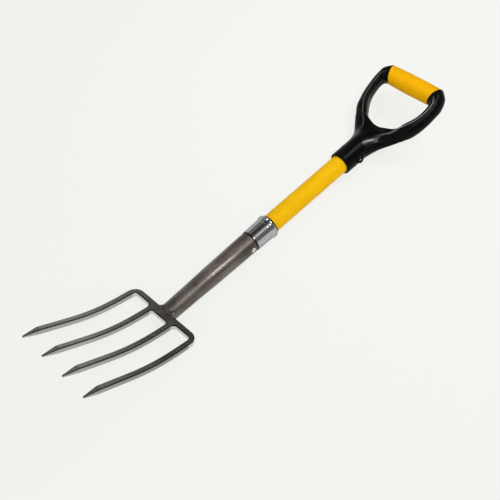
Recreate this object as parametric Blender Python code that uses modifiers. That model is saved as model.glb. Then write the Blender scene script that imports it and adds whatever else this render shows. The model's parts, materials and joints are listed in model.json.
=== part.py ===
"""Border fork: a short garden fork with four curved tines, a steel socket and a D-handle.

All lengths are metres. Every piece is modelled in the fork's own frame: X runs along the
shaft towards the handle and is zero where the yellow jacket leaves the ferrule, Y runs
across the tines and Z points out of the hollow front of the fork. An empty then lays the
whole fork on its back on the ground, rolled onto its far shoulder as it comes to rest, with
the ground at zero and the origin under its middle.
"""

import math

import bmesh
import bpy
import numpy as np
from mathutils import Matrix, Vector

MM = 0.001
CLEARANCE = 0.3 * MM
TURN_STEPS = 48

# Shaft: a fibreglass rod in a plastic jacket
CORE_RADIUS = 12.4 * MM
JACKET_RADIUS = 13.95 * MM
CORE_DEPTH_IN_SOCKET = 90.0 * MM
SHAFT_DEPTH_IN_COLLAR = 53.5 * MM

# Ferrule: a turned cap over the mouth of the socket
FERRULE_LENGTH = 41.0 * MM
FERRULE_MOUTH_RADIUS = 16.0 * MM
FERRULE_BODY_RADIUS = 16.85 * MM
FLANGE_RADIUS = 18.36 * MM
FLANGE_WIDTH = 7.0 * MM
FLANGE_NECK = 3.0 * MM
FLANGE_STEPS = 4

# Socket: a steel tube drawn in towards the head
SOCKET_RIM_X = -22.0 * MM
SOCKET_BASE_X = -193.0 * MM
SOCKET_SEAT_RADIUS = 15.0 * MM
SOCKET_RIM_RADIUS = 15.3 * MM
SOCKET_BODY_RADIUS = 14.95 * MM
SOCKET_NECK_RADIUS = 13.35 * MM
SOCKET_BASE_RADIUS = 12.88 * MM
SOCKET_TAPER_START_X = -95.0 * MM
SOCKET_TAPER_END_X = -162.0 * MM
SOCKET_BASE_WALL = 1.9 * MM
SOCKET_TAPER_STEPS = 8

# Head: one forging, drawn flat and then bent forward
TREAD_X = -200.0 * MM
HEAD_LIFT = 1.2 * MM
YOKE_HALF_WIDTH = 66.1 * MM
YOKE_DEPTH = 9.0 * MM
YOKE_MIDDLE_DEPTH = 14.0 * MM
YOKE_ROOT = 12.0 * MM
YOKE_THICKNESS = 8.4 * MM
SHOULDER_RADIUS = 15.0 * MM
GAP_OUTER_RADIUS = 4.0 * MM
GAP_INNER_RADIUS = 6.5 * MM
GAP_MIDDLE_RADIUS = 4.0 * MM
FILLET_RADIUS = 5.0 * MM
FILLET_TIP = 0.5 * MM
TANG_HALF_WIDTH = 8.0 * MM
TANG_LENGTH = 30.0 * MM
TINE_COUNT = 4
TINE_ROOT_WIDTH = 8.8 * MM
TINE_END_WIDTH = 8.7 * MM
TINE_END_THICKNESS = 8.1 * MM
TINE_TIP_SPREAD = 65.0 * MM
HEAD_LENGTH = 185.0 * MM
POINT_LENGTH = 22.0 * MM
POINT_WIDTH = 3.0 * MM
POINT_THICKNESS = 2.2 * MM
FORGED_EDGE = 0.8 * MM
TANG_BEND_START = -9.0 * MM
TANG_BEND_END = -1.0 * MM
YOKE_SLOPE = math.radians(14.9)
TINE_SLOPE = math.radians(32.6)
TINE_BEND_START = 18.0 * MM
TINE_BEND_LENGTH = 108.0 * MM
BEND_STATIONS = 22
CORNER_STEPS = 5

# Weld: a bead that carries the tube down onto the yoke
WELD_CROWN_RADIUS = 13.9 * MM
WELD_CROWN_X = -196.5 * MM
WELD_NOSE_X = -208.0 * MM
WELD_NOSE_ANGLE = 75.0
WELD_STEPS = 5

# Handle: a moulded frame whose plane is bent forward from the collar
COLLAR_START = 144.0 * MM
COLLAR_END = 183.0 * MM
COLLAR_RADIUS = 17.83 * MM
COLLAR_ROUND = 3.0 * MM
HANDLE_BEND_START = 198.0 * MM
HANDLE_BEND_LENGTH = 30.0 * MM
HANDLE_BEND_ANGLE = math.radians(16.0)
GRIP_REACH = 316.35 * MM
GRIP_RADIUS = 14.6 * MM
GRIP_SWELL = 0.75 * MM
GRIP_HALF_LENGTH = 42.1 * MM
GRIP_END_SLOPE = 0.307
GRIP_SEAT_RADIUS = 15.1 * MM
GRIP_STEPS = 6
BAR_RADIUS = 10.0 * MM
HANDLE_HALF_WIDTH = 62.3 * MM
WINDOW_HALF_WIDTH = 47.0 * MM
CROTCH_REACH = 233.8 * MM
CROTCH_ROUND = 6.0 * MM
ARM_HALF_DEPTH = 11.0 * MM
CROTCH_HALF_DEPTH = 10.8 * MM
ARM_ROOT_HALF_DEPTH = 13.6 * MM
ARM_LIFT = 1.0 * MM
ARM_LEAN = 0.12
RIDGE_AT_CROTCH = 0.12
ROUND_SECTION = 2.0
ARM_OUTER_SECTION = 2.2
ARM_INNER_SECTION = 3.4
RAIL_SUBSTEPS = 3
OUTER_POINTS = 9
INNER_POINTS = 7

# Rivets: one across the socket, one across the collar
SOCKET_RIVET_X = -49.4 * MM
HANDLE_RIVET_X = 169.5 * MM
RIVET_RADIUS = 2.4 * MM
SOCKET_RIVET_HEAD_RADIUS = 4.0 * MM
SOCKET_RIVET_HEAD_HEIGHT = 1.4 * MM
HANDLE_RIVET_HEAD_RADIUS = 3.7 * MM
HANDLE_RIVET_HEAD_HEIGHT = 1.1 * MM
HANDLE_RIVET_SINK = 0.5 * MM
BOSS_RADIUS = 5.6 * MM
BOSS_ROUND = 0.9 * MM
BOSS_FLARE = 1.6 * MM
BOSS_HALF_SPAN = 20.8 * MM
BORE_STEPS = 24

# Rest: the search for the roll at which a shoulder touches the ground
STEEPEST_ROLL = math.radians(30.0)
ROLL_HALVINGS = 30


def smoothstep(value):
    """Ease from 0 to 1 with level ends."""
    value = min(max(value, 0.0), 1.0)
    return value * value * (3.0 - 2.0 * value)


def lerp(start, end, share):
    """Blend two numbers or arrays."""
    return start + (end - start) * share


def clear_scene():
    """Remove what the start-up file holds."""
    for item in list(bpy.data.objects):
        bpy.data.objects.remove(item, do_unlink=True)


def make_collection(name):
    """Return a new collection linked to the scene."""
    collection = bpy.data.collections.new(name)
    bpy.context.scene.collection.children.link(collection)
    return collection


def make_material(name, colour, roughness, metallic):
    """Return a Principled material in one finish."""
    material = bpy.data.materials.new(name)
    material.use_nodes = True
    shader = material.node_tree.nodes["Principled BSDF"]
    shader.inputs["Base Color"].default_value = (*colour, 1.0)
    shader.inputs["Roughness"].default_value = roughness
    shader.inputs["Metallic"].default_value = metallic
    material.diffuse_color = (*colour, 1.0)
    return material


def add_piece(name, mesh, material):
    """Put a mesh in the fork's collection as a named piece."""
    piece = bpy.data.objects.new(name, mesh)
    parts.objects.link(piece)
    mesh.materials.clear()
    mesh.materials.append(material)
    piece.parent = rest
    return piece


def add_cutter(name, mesh):
    """Put a mesh among the cutters, shown as wire and left out of the model."""
    cutter = bpy.data.objects.new(name, mesh)
    cutters.objects.link(cutter)
    cutter.hide_render = True
    cutter.display_type = "WIRE"
    cutter.parent = rest
    return cutter


def boolean(piece, cutter, operation="DIFFERENCE"):
    """Cut or join a piece with a cutter by an exact Boolean modifier."""
    modifier = piece.modifiers.new(cutter.name, "BOOLEAN")
    modifier.operation = operation
    modifier.object = cutter
    modifier.solver = "EXACT"


def shade(mesh, angle=35.0):
    """Shade a mesh smooth with its corners kept sharp."""
    mesh.shade_smooth()
    mesh.set_sharp_from_angle(angle=math.radians(angle))


def evaluated_mesh(source):
    """Return a plain mesh of an object as its modifiers or curve give it."""
    graph = bpy.context.evaluated_depsgraph_get()
    mesh = bpy.data.meshes.new_from_object(source.evaluated_get(graph))
    mesh.name = source.name
    return mesh


def turned_mesh(name, outline, steps=TURN_STEPS):
    """Turn an outline of (station, radius) round the shaft's line.

    The outline starts at the handle end, runs down the outside towards the tines and, for
    a ring, comes back up its bore. Flats, not corners, face straight down.
    """
    mesh = bpy.data.meshes.new(name)
    points = [(radius, 0.0, station) for station, radius in outline]
    closed = outline[0][1] > 0.0
    edges = [(i, i + 1) for i in range(len(points) - 1)]
    if closed:
        edges.append((len(points) - 1, 0))
    mesh.from_pydata(points, edges, [])
    source = bpy.data.objects.new(name, mesh)
    bpy.context.scene.collection.objects.link(source)
    screw = source.modifiers.new("turn", "SCREW")
    screw.axis = "Z"
    screw.angle = math.tau
    screw.steps = steps
    screw.render_steps = steps
    screw.use_merge_vertices = True
    screw.merge_threshold = 0.00001
    turned = evaluated_mesh(source)
    bpy.data.objects.remove(source, do_unlink=True)
    half_step = Matrix.Rotation(math.pi / steps, 4, "Z")
    along_shaft = Matrix.Rotation(math.pi / 2.0, 4, "Y")
    turned.transform(along_shaft @ half_step)
    shade(turned)
    return turned


def cross_cylinder(name, radius, half_span, station, steps=BORE_STEPS):
    """Return a cylinder that crosses the shaft's line at one station, from side to side."""
    mesh = bpy.data.meshes.new(name)
    form = bmesh.new()
    bmesh.ops.create_cone(
        form,
        cap_ends=True,
        segments=steps,
        radius1=radius,
        radius2=radius,
        depth=2.0 * half_span,
        matrix=Matrix.Translation((station, 0.0, 0.0)) @ Matrix.Rotation(math.pi / 2.0, 4, "X"),
    )
    form.to_mesh(mesh)
    form.free()
    return mesh


def cross_turned(name, half_outline, station, steps=BORE_STEPS):
    """Turn a body that is alike at both ends and lay it across the shaft's line.

    The half outline is (distance from the middle, radius), from one end towards the middle.
    """
    outline = half_outline + [(-along, radius) for along, radius in reversed(half_outline)]
    mesh = turned_mesh(name, outline, steps)
    mesh.transform(Matrix.Translation((station, 0.0, 0.0)) @ Matrix.Rotation(math.pi / 2.0, 4, "Z"))
    return mesh


def bend_points(points, slopes, knots):
    """Bend flat points so that the line at each knot distance takes the slope given there.

    Points are rows of (distance, width, height). The sheet is bent about the width axis: its
    middle line is integrated from the slopes, and heights stay square to it.
    """
    fine = np.linspace(knots[0], knots[-1], 2001)
    slope = np.interp(fine, knots, slopes)
    step = np.diff(fine)
    forward = np.concatenate([[0.0], np.cumsum(0.5 * (np.cos(slope[1:]) + np.cos(slope[:-1])) * step)])
    upward = np.concatenate([[0.0], np.cumsum(0.5 * (np.sin(slope[1:]) + np.sin(slope[:-1])) * step)])
    angle = np.interp(points[:, 0], fine, slope)
    bent = np.empty_like(points)
    bent[:, 0] = np.interp(points[:, 0], fine, forward) - points[:, 2] * np.sin(angle)
    bent[:, 1] = points[:, 1]
    bent[:, 2] = np.interp(points[:, 0], fine, upward) + points[:, 2] * np.cos(angle)
    return bent


def mesh_points(mesh):
    """Return a mesh's vertices as an array."""
    flat = np.empty(len(mesh.vertices) * 3)
    mesh.vertices.foreach_get("co", flat)
    return flat.reshape(-1, 3)


def set_mesh_points(mesh, points):
    """Write an array back into a mesh's vertices."""
    mesh.vertices.foreach_set("co", points.ravel())
    mesh.update()


def corner(centre, radius, start, end, steps=CORNER_STEPS):
    """Return points on a round corner, with its angles in degrees."""
    angles = [math.radians(lerp(start, end, i / steps)) for i in range(steps + 1)]
    return [(centre[0] + radius * math.cos(a), centre[1] + radius * math.sin(a)) for a in angles]


def tine_centre(index, distance):
    """Return how far a tine's middle lies from the fork's middle at a distance from the tread."""
    root = YOKE_HALF_WIDTH - TINE_ROOT_WIDTH / 2.0
    share = (distance - YOKE_ROOT) / (HEAD_LENGTH - YOKE_ROOT)
    outer = lerp(root, TINE_TIP_SPREAD, share)
    return outer * (TINE_COUNT - 1 - 2 * index) / (TINE_COUNT - 1)


def tine_half_width(distance):
    """Return half a tine's width at a distance from the tread, before its point."""
    share = (distance - YOKE_ROOT) / (HEAD_LENGTH - POINT_LENGTH - YOKE_ROOT)
    return lerp(TINE_ROOT_WIDTH, TINE_END_WIDTH, min(max(share, 0.0), 1.0)) / 2.0


def tine_side(index, side, distance):
    """Return a point on one side of a tine: side is 1 outwards and -1 inwards."""
    return (distance, tine_centre(index, distance) + side * tine_half_width(distance))


def tine_point(index):
    """Return the blunt point of a tine's outline, from its outer side to its inner side."""
    start = HEAD_LENGTH - POINT_LENGTH
    middle = tine_centre(index, HEAD_LENGTH)
    return [
        tine_side(index, 1, start),
        (HEAD_LENGTH - POINT_WIDTH / 3.0, middle + POINT_WIDTH / 2.0),
        (HEAD_LENGTH, middle + POINT_WIDTH / 4.0),
        (HEAD_LENGTH, middle - POINT_WIDTH / 4.0),
        (HEAD_LENGTH - POINT_WIDTH / 3.0, middle - POINT_WIDTH / 2.0),
        tine_side(index, -1, start),
    ]


def head_half_outline():
    """Return the +Y half of the flat head, from its tang to the middle of the centre gap."""
    shoulder = (SHOULDER_RADIUS, YOKE_HALF_WIDTH - SHOULDER_RADIUS)
    beside_weld = WELD_CROWN_RADIUS + CLEARANCE
    fillet = (-FILLET_RADIUS, beside_weld + FILLET_TIP + FILLET_RADIUS)
    outline = [(-TANG_LENGTH, TANG_HALF_WIDTH), (0.0, TANG_HALF_WIDTH), (0.0, beside_weld)]
    outline.append((-FILLET_RADIUS, beside_weld))
    outline += corner(fillet, FILLET_RADIUS, -90.0, 0.0)
    outline += corner(shoulder, SHOULDER_RADIUS, 180.0, 90.0)
    outline += tine_point(0)
    bottom = YOKE_DEPTH + GAP_OUTER_RADIUS
    edge = tine_side(0, -1, bottom)[1]
    outline += corner((bottom, edge - GAP_OUTER_RADIUS), GAP_OUTER_RADIUS, 90.0, 180.0)
    bottom = YOKE_DEPTH + GAP_INNER_RADIUS
    edge = tine_side(1, 1, bottom)[1]
    outline += corner((bottom, edge + GAP_INNER_RADIUS), GAP_INNER_RADIUS, 180.0, 270.0)
    outline += tine_point(1)
    bottom = YOKE_MIDDLE_DEPTH + GAP_MIDDLE_RADIUS
    edge = tine_side(1, -1, bottom)[1]
    outline += corner((bottom, edge - GAP_MIDDLE_RADIUS), GAP_MIDDLE_RADIUS, 90.0, 180.0)
    return outline


def flat_blank(name, outline, thickness, edge):
    """Fill a flat outline of (distance, width) to a blank with chamfered edges."""
    curve = bpy.data.curves.new(name, "CURVE")
    curve.dimensions = "2D"
    curve.fill_mode = "BOTH"
    curve.extrude = thickness / 2.0 - edge
    curve.bevel_depth = edge
    curve.bevel_resolution = 0
    curve.offset = -edge
    spline = curve.splines.new("POLY")
    spline.points.add(len(outline) - 1)
    for point, (distance, width) in zip(spline.points, outline):
        point.co = (distance, width, 0.0, 1.0)
    spline.use_cyclic_u = True
    source = bpy.data.objects.new(name, curve)
    bpy.context.scene.collection.objects.link(source)
    mesh = evaluated_mesh(source)
    bpy.data.objects.remove(source, do_unlink=True)
    return mesh


def slice_along(mesh, distances):
    """Add edges across a flat blank at each distance, so that it can bend there."""
    form = bmesh.new()
    form.from_mesh(mesh)
    bmesh.ops.remove_doubles(form, verts=form.verts, dist=0.000001)
    for distance in distances:
        geometry = form.verts[:] + form.edges[:] + form.faces[:]
        bmesh.ops.bisect_plane(
            form,
            geom=geometry,
            dist=0.000001,
            plane_co=(distance, 0.0, 0.0),
            plane_no=(1.0, 0.0, 0.0),
        )
    bmesh.ops.triangulate(form, faces=form.faces[:])
    bmesh.ops.recalc_face_normals(form, faces=form.faces[:])
    form.to_mesh(mesh)
    form.free()


def bend_head(mesh, thinned):
    """Bend a flat head blank forward, and thin it towards the tines' points if asked."""
    points = mesh_points(mesh)
    distance = points[:, 0]
    if thinned:
        level = points[:, 2] / YOKE_THICKNESS + 0.5
        root_to_point = np.clip((distance - YOKE_ROOT) / (HEAD_LENGTH - POINT_LENGTH - YOKE_ROOT), 0.0, 1.0)
        half = lerp(YOKE_THICKNESS, TINE_END_THICKNESS, root_to_point) / 2.0
        into_point = np.clip((distance - HEAD_LENGTH + POINT_LENGTH) / POINT_LENGTH, 0.0, 1.0)
        front = lerp(half, POINT_THICKNESS - half, into_point)
        points[:, 2] = lerp(-half, front, level)
    knots = [-2.0 * TANG_LENGTH, TANG_BEND_START, TANG_BEND_END]
    slopes = [0.0, 0.0, YOKE_SLOPE]
    for i in range(BEND_STATIONS + 1):
        share = i / BEND_STATIONS
        knots.append(TINE_BEND_START + share * TINE_BEND_LENGTH)
        slopes.append(lerp(YOKE_SLOPE, TINE_SLOPE, smoothstep(share)))
    tread = np.array([[0.0, 0.0, 0.0]])
    knots.append(HEAD_LENGTH)
    slopes.append(TINE_SLOPE)
    bent = bend_points(points, slopes, knots)
    bent -= bend_points(tread, slopes, knots)
    bent[:, 0] = TREAD_X - bent[:, 0]
    bent[:, 1] = -bent[:, 1]
    bent[:, 2] += HEAD_LIFT
    set_mesh_points(mesh, bent)


def head_stations():
    """Return the distances at which the flat head is cut across so that it can bend."""
    tang = [lerp(TANG_BEND_START, TANG_BEND_END, share) for share in (0.0, 0.5, 1.0)]
    straight = HEAD_LENGTH - POINT_LENGTH - YOKE_ROOT
    tines = [YOKE_ROOT + straight * i / BEND_STATIONS for i in range(BEND_STATIONS + 1)]
    return tang + tines + [HEAD_LENGTH - POINT_LENGTH / 2.0]


def make_tine_head():
    """Forge the yoke, its tang and the four tines from one flat blank."""
    half = head_half_outline()
    outline = half + [(distance, -width) for distance, width in reversed(half)]
    mesh = flat_blank("tine_head", outline, YOKE_THICKNESS, FORGED_EDGE)
    slice_along(mesh, head_stations())
    bend_head(mesh, thinned=True)
    shade(mesh)
    return add_piece("tine_head", mesh, forged_steel)


def make_weld():
    """Turn the weld bead and cut the yoke and its tang out of it."""
    end = SOCKET_BASE_X - CLEARANCE
    bore = SOCKET_BASE_RADIUS - SOCKET_BASE_WALL
    outline = [(end, bore), (end, SOCKET_BASE_RADIUS)]
    outline += [((end + WELD_CROWN_X) / 2.0, lerp(SOCKET_BASE_RADIUS, WELD_CROWN_RADIUS, 0.75))]
    length = WELD_CROWN_X - WELD_NOSE_X
    for i in range(WELD_STEPS + 1):
        angle = math.radians(lerp(0.0, WELD_NOSE_ANGLE, i / WELD_STEPS))
        outline.append((WELD_CROWN_X - length * math.sin(angle), WELD_CROWN_RADIUS * math.cos(angle)))
    inside_yoke = YOKE_THICKNESS / 4.0
    outline += [(outline[-1][0], inside_yoke), (WELD_CROWN_X, inside_yoke)]
    weld = add_piece("socket_weld", turned_mesh("socket_weld", outline), tube_steel)
    slot = TANG_HALF_WIDTH + CLEARANCE
    wide = 2.0 * WELD_CROWN_RADIUS
    half = [(-2.0 * TANG_LENGTH, slot), (-CLEARANCE, slot), (-CLEARANCE, wide), (wide, wide)]
    cut = half + [(distance, -width) for distance, width in reversed(half)]
    room = flat_blank("yoke_room", cut, YOKE_THICKNESS + 2.0 * CLEARANCE, 0.0)
    slice_along(room, head_stations()[:4])
    bend_head(room, thinned=False)
    boolean(weld, add_cutter("yoke_room", room))
    return weld


def socket_radius(station):
    """Return the socket's outside radius at a station along the shaft."""
    if station > SOCKET_TAPER_START_X:
        share = (-FERRULE_LENGTH - station) / (-FERRULE_LENGTH - SOCKET_TAPER_START_X)
        return lerp(SOCKET_RIM_RADIUS, SOCKET_BODY_RADIUS, min(max(share, 0.0), 1.0))
    if station > SOCKET_TAPER_END_X:
        share = (SOCKET_TAPER_START_X - station) / (SOCKET_TAPER_START_X - SOCKET_TAPER_END_X)
        return lerp(SOCKET_BODY_RADIUS, SOCKET_NECK_RADIUS, smoothstep(share))
    share = (SOCKET_TAPER_END_X - station) / (SOCKET_TAPER_END_X - SOCKET_BASE_X)
    return lerp(SOCKET_NECK_RADIUS, SOCKET_BASE_RADIUS, share)


def make_socket():
    """Turn the socket with its drawn-in neck and bore it for the shaft and the rivet."""
    step_x = -FERRULE_LENGTH - CLEARANCE
    shoulder = SOCKET_RIM_RADIUS - SOCKET_SEAT_RADIUS
    outline = [(SOCKET_RIM_X, SOCKET_SEAT_RADIUS), (step_x, SOCKET_SEAT_RADIUS)]
    outline.append((step_x - shoulder, SOCKET_RIM_RADIUS))
    for i in range(SOCKET_TAPER_STEPS + 1):
        station = lerp(SOCKET_TAPER_START_X, SOCKET_TAPER_END_X, i / SOCKET_TAPER_STEPS)
        outline.append((station, socket_radius(station)))
    outline.append((SOCKET_BASE_X, SOCKET_BASE_RADIUS))
    bore = CORE_RADIUS + CLEARANCE
    bore_end = SOCKET_RIM_X - CORE_DEPTH_IN_SOCKET - 2.0 * CLEARANCE
    outline += [(SOCKET_BASE_X, SOCKET_BASE_RADIUS - SOCKET_BASE_WALL), (bore_end, bore)]
    outline.append((SOCKET_RIM_X, bore))
    socket = add_piece("socket_tube", turned_mesh("socket_tube", outline), tube_steel)
    boolean(socket, socket_rivet_bore)
    floor = socket_radius(SOCKET_RIVET_X) - SOCKET_RIVET_HEAD_HEIGHT / 2.0 - CLEARANCE
    depth = SOCKET_RIM_RADIUS
    for side in (1.0, -1.0):
        spot = cross_cylinder("spot_face", SOCKET_RIVET_HEAD_RADIUS + CLEARANCE, depth / 2.0, SOCKET_RIVET_X)
        spot.transform(Matrix.Translation((0.0, side * (floor + depth / 2.0), 0.0)))
        boolean(socket, add_cutter("spot_face", spot))
    return socket


def make_ferrule():
    """Turn the plated cap with its rolled flange."""
    lip_height = FLANGE_RADIUS - JACKET_RADIUS - CLEARANCE
    step_height = FLANGE_RADIUS - FERRULE_BODY_RADIUS
    outline = [(0.0, JACKET_RADIUS + CLEARANCE)]
    for i in range(FLANGE_STEPS):
        angle = math.radians(lerp(20.0, 90.0, i / (FLANGE_STEPS - 1)))
        station = -FLANGE_WIDTH / 2.0 * (1.0 - math.cos(angle))
        outline.append((station, FLANGE_RADIUS - lip_height * (1.0 - math.sin(angle))))
    outline.append((-0.8 * FLANGE_WIDTH, FLANGE_RADIUS - 0.25 * step_height))
    outline.append((-FLANGE_WIDTH, FERRULE_BODY_RADIUS + 0.3 * step_height))
    outline.append((-FLANGE_WIDTH - FLANGE_NECK, FERRULE_BODY_RADIUS))
    outline.append((-FERRULE_LENGTH, FERRULE_MOUTH_RADIUS))
    seat = SOCKET_SEAT_RADIUS + CLEARANCE
    step_x = SOCKET_RIM_X + CLEARANCE
    outline += [(-FERRULE_LENGTH, seat), (step_x, seat), (step_x, JACKET_RADIUS + CLEARANCE)]
    return add_piece("ferrule", turned_mesh("ferrule", outline), plated_steel)


def make_shaft():
    """Turn the fibreglass core and its jacket, drilled for the rivets."""
    end = COLLAR_START + SHAFT_DEPTH_IN_COLLAR
    start = SOCKET_RIM_X - CORE_DEPTH_IN_SOCKET
    core_outline = [(end, 0.0), (end, CORE_RADIUS), (start, CORE_RADIUS), (start, 0.0)]
    core = add_piece("shaft_core", turned_mesh("shaft_core", core_outline), fibreglass)
    boolean(core, socket_rivet_bore)
    boolean(core, handle_rivet_bore)
    bore = CORE_RADIUS + CLEARANCE
    jacket_start = SOCKET_RIM_X + CLEARANCE
    jacket_outline = [(end, bore), (end, JACKET_RADIUS), (jacket_start, JACKET_RADIUS), (jacket_start, bore)]
    jacket = add_piece("shaft_jacket", turned_mesh("shaft_jacket", jacket_outline), yellow_plastic)
    boolean(jacket, handle_rivet_bore)
    return core, jacket


def make_rivet(name, station, half_span, head_radius, head_height):
    """Turn a rivet with a low domed head at each end and lay it across the shaft."""
    half_outline = [
        (half_span, 0.0),
        (half_span - 0.15 * head_height, 0.6 * head_radius),
        (half_span - 0.5 * head_height, head_radius),
        (half_span - head_height, head_radius),
        (half_span - head_height, RIVET_RADIUS),
    ]
    return add_piece(name, cross_turned(name, half_outline, station), bright_steel)


def spline_rows(rows, substeps, row_before=None):
    """Run a smooth curve through rows of numbers and read it at even steps between them."""
    rows = np.array(rows)
    if row_before is None:
        row_before = 2.0 * rows[0] - rows[1]
    before = np.vstack([row_before, rows[:-1]])
    after = np.vstack([rows[1:], 2.0 * rows[-1] - rows[-2]])
    tangents = (after - before) / 2.0
    result = []
    for i in range(len(rows) - 1):
        for k in range(substeps):
            t = k / substeps
            keep = 2.0 * t**3 - 3.0 * t**2 + 1.0
            reach = -2.0 * t**3 + 3.0 * t**2
            leave = t**3 - 2.0 * t**2 + t
            arrive = t**3 - t**2
            result.append(
                keep * rows[i] + reach * rows[i + 1] + leave * tangents[i] + arrive * tangents[i + 1]
            )
    result.append(rows[-1])
    return np.array(result)


def collar_rows():
    """Return the collar and neck of the handle as (reach, half width, half depth)."""
    neck = CROTCH_REACH - COLLAR_END
    edge = []
    for along, inwards in ((0.0, 0.5), (0.35, 0.15), (1.0, 0.0)):
        radius = COLLAR_RADIUS - inwards * COLLAR_ROUND
        edge.append((COLLAR_START + along * COLLAR_ROUND, radius, radius))
    spread = HANDLE_HALF_WIDTH - COLLAR_RADIUS
    thin = COLLAR_RADIUS - CROTCH_HALF_DEPTH
    neck_rows = [
        (COLLAR_END, COLLAR_RADIUS, COLLAR_RADIUS),
        (COLLAR_END + 0.22 * neck, COLLAR_RADIUS + 0.07 * spread, COLLAR_RADIUS - 0.14 * thin),
        (COLLAR_END + 0.44 * neck, COLLAR_RADIUS + 0.19 * spread, COLLAR_RADIUS - 0.46 * thin),
        (COLLAR_END + 0.68 * neck, COLLAR_RADIUS + 0.40 * spread, COLLAR_RADIUS - 0.82 * thin),
        (COLLAR_END + 0.93 * neck, COLLAR_RADIUS + 0.61 * spread, CROTCH_HALF_DEPTH),
    ]
    return edge, neck_rows


def arm_rows():
    """Return the arm from the crotch to the grip's end.

    Each row holds the outer point's reach and half width, the inner point's reach and half
    width, the half depth, how far across the section its ridge stands, and how far forward of
    the handle's plane the section lies.
    """
    wide = HANDLE_HALF_WIDTH
    window = WINDOW_HALF_WIDTH
    opening = GRIP_REACH - CROTCH_REACH
    slant = GRIP_END_SLOPE * GRIP_SEAT_RADIUS
    flat_end = math.hypot(1.0, GRIP_END_SLOPE)
    return [
        (CROTCH_REACH - 0.03 * opening, 0.73 * wide, CROTCH_REACH, 0.0, CROTCH_HALF_DEPTH, 0.0,
         -0.5 * ARM_LIFT),
        (CROTCH_REACH + 0.11 * opening, 0.84 * wide, CROTCH_REACH + 0.055 * opening, 0.51 * window,
         lerp(CROTCH_HALF_DEPTH, ARM_ROOT_HALF_DEPTH, 0.7), 0.2, 0.5 * ARM_LIFT),
        (CROTCH_REACH + 0.257 * opening, 0.905 * wide, CROTCH_REACH + 0.206 * opening, 0.76 * window,
         ARM_ROOT_HALF_DEPTH, 0.28, ARM_LIFT),
        (CROTCH_REACH + 0.44 * opening, 0.965 * wide, CROTCH_REACH + 0.418 * opening, 0.945 * window,
         lerp(ARM_ROOT_HALF_DEPTH, ARM_HALF_DEPTH, 0.6), 0.32, ARM_LIFT),
        (CROTCH_REACH + 0.645 * opening, 0.995 * wide, CROTCH_REACH + 0.65 * opening, window,
         ARM_HALF_DEPTH, 0.34, ARM_LIFT),
        (CROTCH_REACH + 0.84 * opening, 0.998 * wide, GRIP_REACH - 1.18 * GRIP_RADIUS, 0.995 * window,
         lerp(ARM_HALF_DEPTH, GRIP_RADIUS, 0.35), 0.4, 0.7 * ARM_LIFT),
        (GRIP_REACH + 0.18 * GRIP_RADIUS, 0.937 * wide, GRIP_REACH - 1.04 * GRIP_RADIUS, 0.95 * window,
         lerp(ARM_HALF_DEPTH, GRIP_RADIUS, 0.9), 0.47, ARM_LIFT),
        (GRIP_REACH + 0.72 * GRIP_RADIUS, 0.825 * wide, GRIP_REACH - 0.98 * GRIP_RADIUS, 0.89 * window,
         GRIP_SEAT_RADIUS, 0.5, 0.6 * ARM_LIFT),
        (GRIP_REACH + GRIP_SEAT_RADIUS / flat_end, GRIP_HALF_LENGTH + CLEARANCE + slant / flat_end,
         GRIP_REACH - GRIP_SEAT_RADIUS / flat_end, GRIP_HALF_LENGTH + CLEARANCE - slant / flat_end,
         GRIP_SEAT_RADIUS, 0.5, 0.0),
    ]


def half_loop(anchor, tip, depth, count, squareness, turn):
    """Return one side of a section, from its front ridge round the tip to its back.

    The side is a superellipse between the ridge at the anchor and the tip. The turn says
    which way round it is read: 1 from the front, -1 from the back.
    """
    angles = np.linspace(0.5 * math.pi, -0.5 * math.pi, count) * turn
    across = np.abs(np.cos(angles)) ** (2.0 / squareness)
    height = np.sign(np.sin(angles)) * np.abs(np.sin(angles)) ** (2.0 / squareness) * depth
    line = np.array(anchor)[None, :] + across[:, None] * (np.array(tip) - np.array(anchor))[None, :]
    return np.column_stack([line, height])


def handle_half_rings():
    """Return the outer and inner half loops of the handle's +Y half, station by station."""
    edge, neck_rows = collar_rows()
    neck = np.vstack([np.array(edge), spline_rows(neck_rows, RAIL_SUBSTEPS)[:-1]])
    outers = []
    for reach, width, depth in neck:
        outers.append(half_loop((reach, 0.0), (reach, width), depth, OUTER_POINTS, ROUND_SECTION, 1.0))
    rows = np.array(arm_rows())
    across = 2.0 * rows[0] - rows[1]
    across[2:4] = (rows[1, 2], -rows[1, 3])
    arms = spline_rows(rows, RAIL_SUBSTEPS, across)
    inners = []
    for row in arms:
        outer = np.array(row[0:2])
        inner = np.array(row[2:4])
        middle = np.array([CROTCH_REACH - CROTCH_ROUND, 0.0])
        near_middle = max(0.0, 1.0 - row[5] / RIDGE_AT_CROTCH)
        anchor = lerp(inner + row[5] * (outer - inner), middle, near_middle)
        near_grip = smoothstep((row[0] - GRIP_REACH + GRIP_RADIUS) / (1.5 * GRIP_RADIUS))
        past_crotch = smoothstep((inner[0] - CROTCH_REACH) / (0.3 * (GRIP_REACH - CROTCH_REACH)))
        outer_section = lerp(ARM_OUTER_SECTION, ROUND_SECTION, near_grip)
        inner_section = lerp(ARM_INNER_SECTION, ROUND_SECTION, near_grip)
        inner_section = lerp(ROUND_SECTION, inner_section, past_crotch)
        lean = -ARM_LEAN * past_crotch * (1.0 - near_grip) * (outer - inner) / np.linalg.norm(outer - inner)
        shift = np.array([0.0, 0.0, row[6]])
        for rings, tip, count, form, turn in (
            (outers, outer, OUTER_POINTS, outer_section, 1.0),
            (inners, inner, INNER_POINTS, inner_section, -1.0),
        ):
            ring = half_loop(anchor, tip, row[4], count, form, turn)
            ring[:, :2] += ring[:, 2:] * lean
            rings.append(ring + shift)
    return outers, inners


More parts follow.
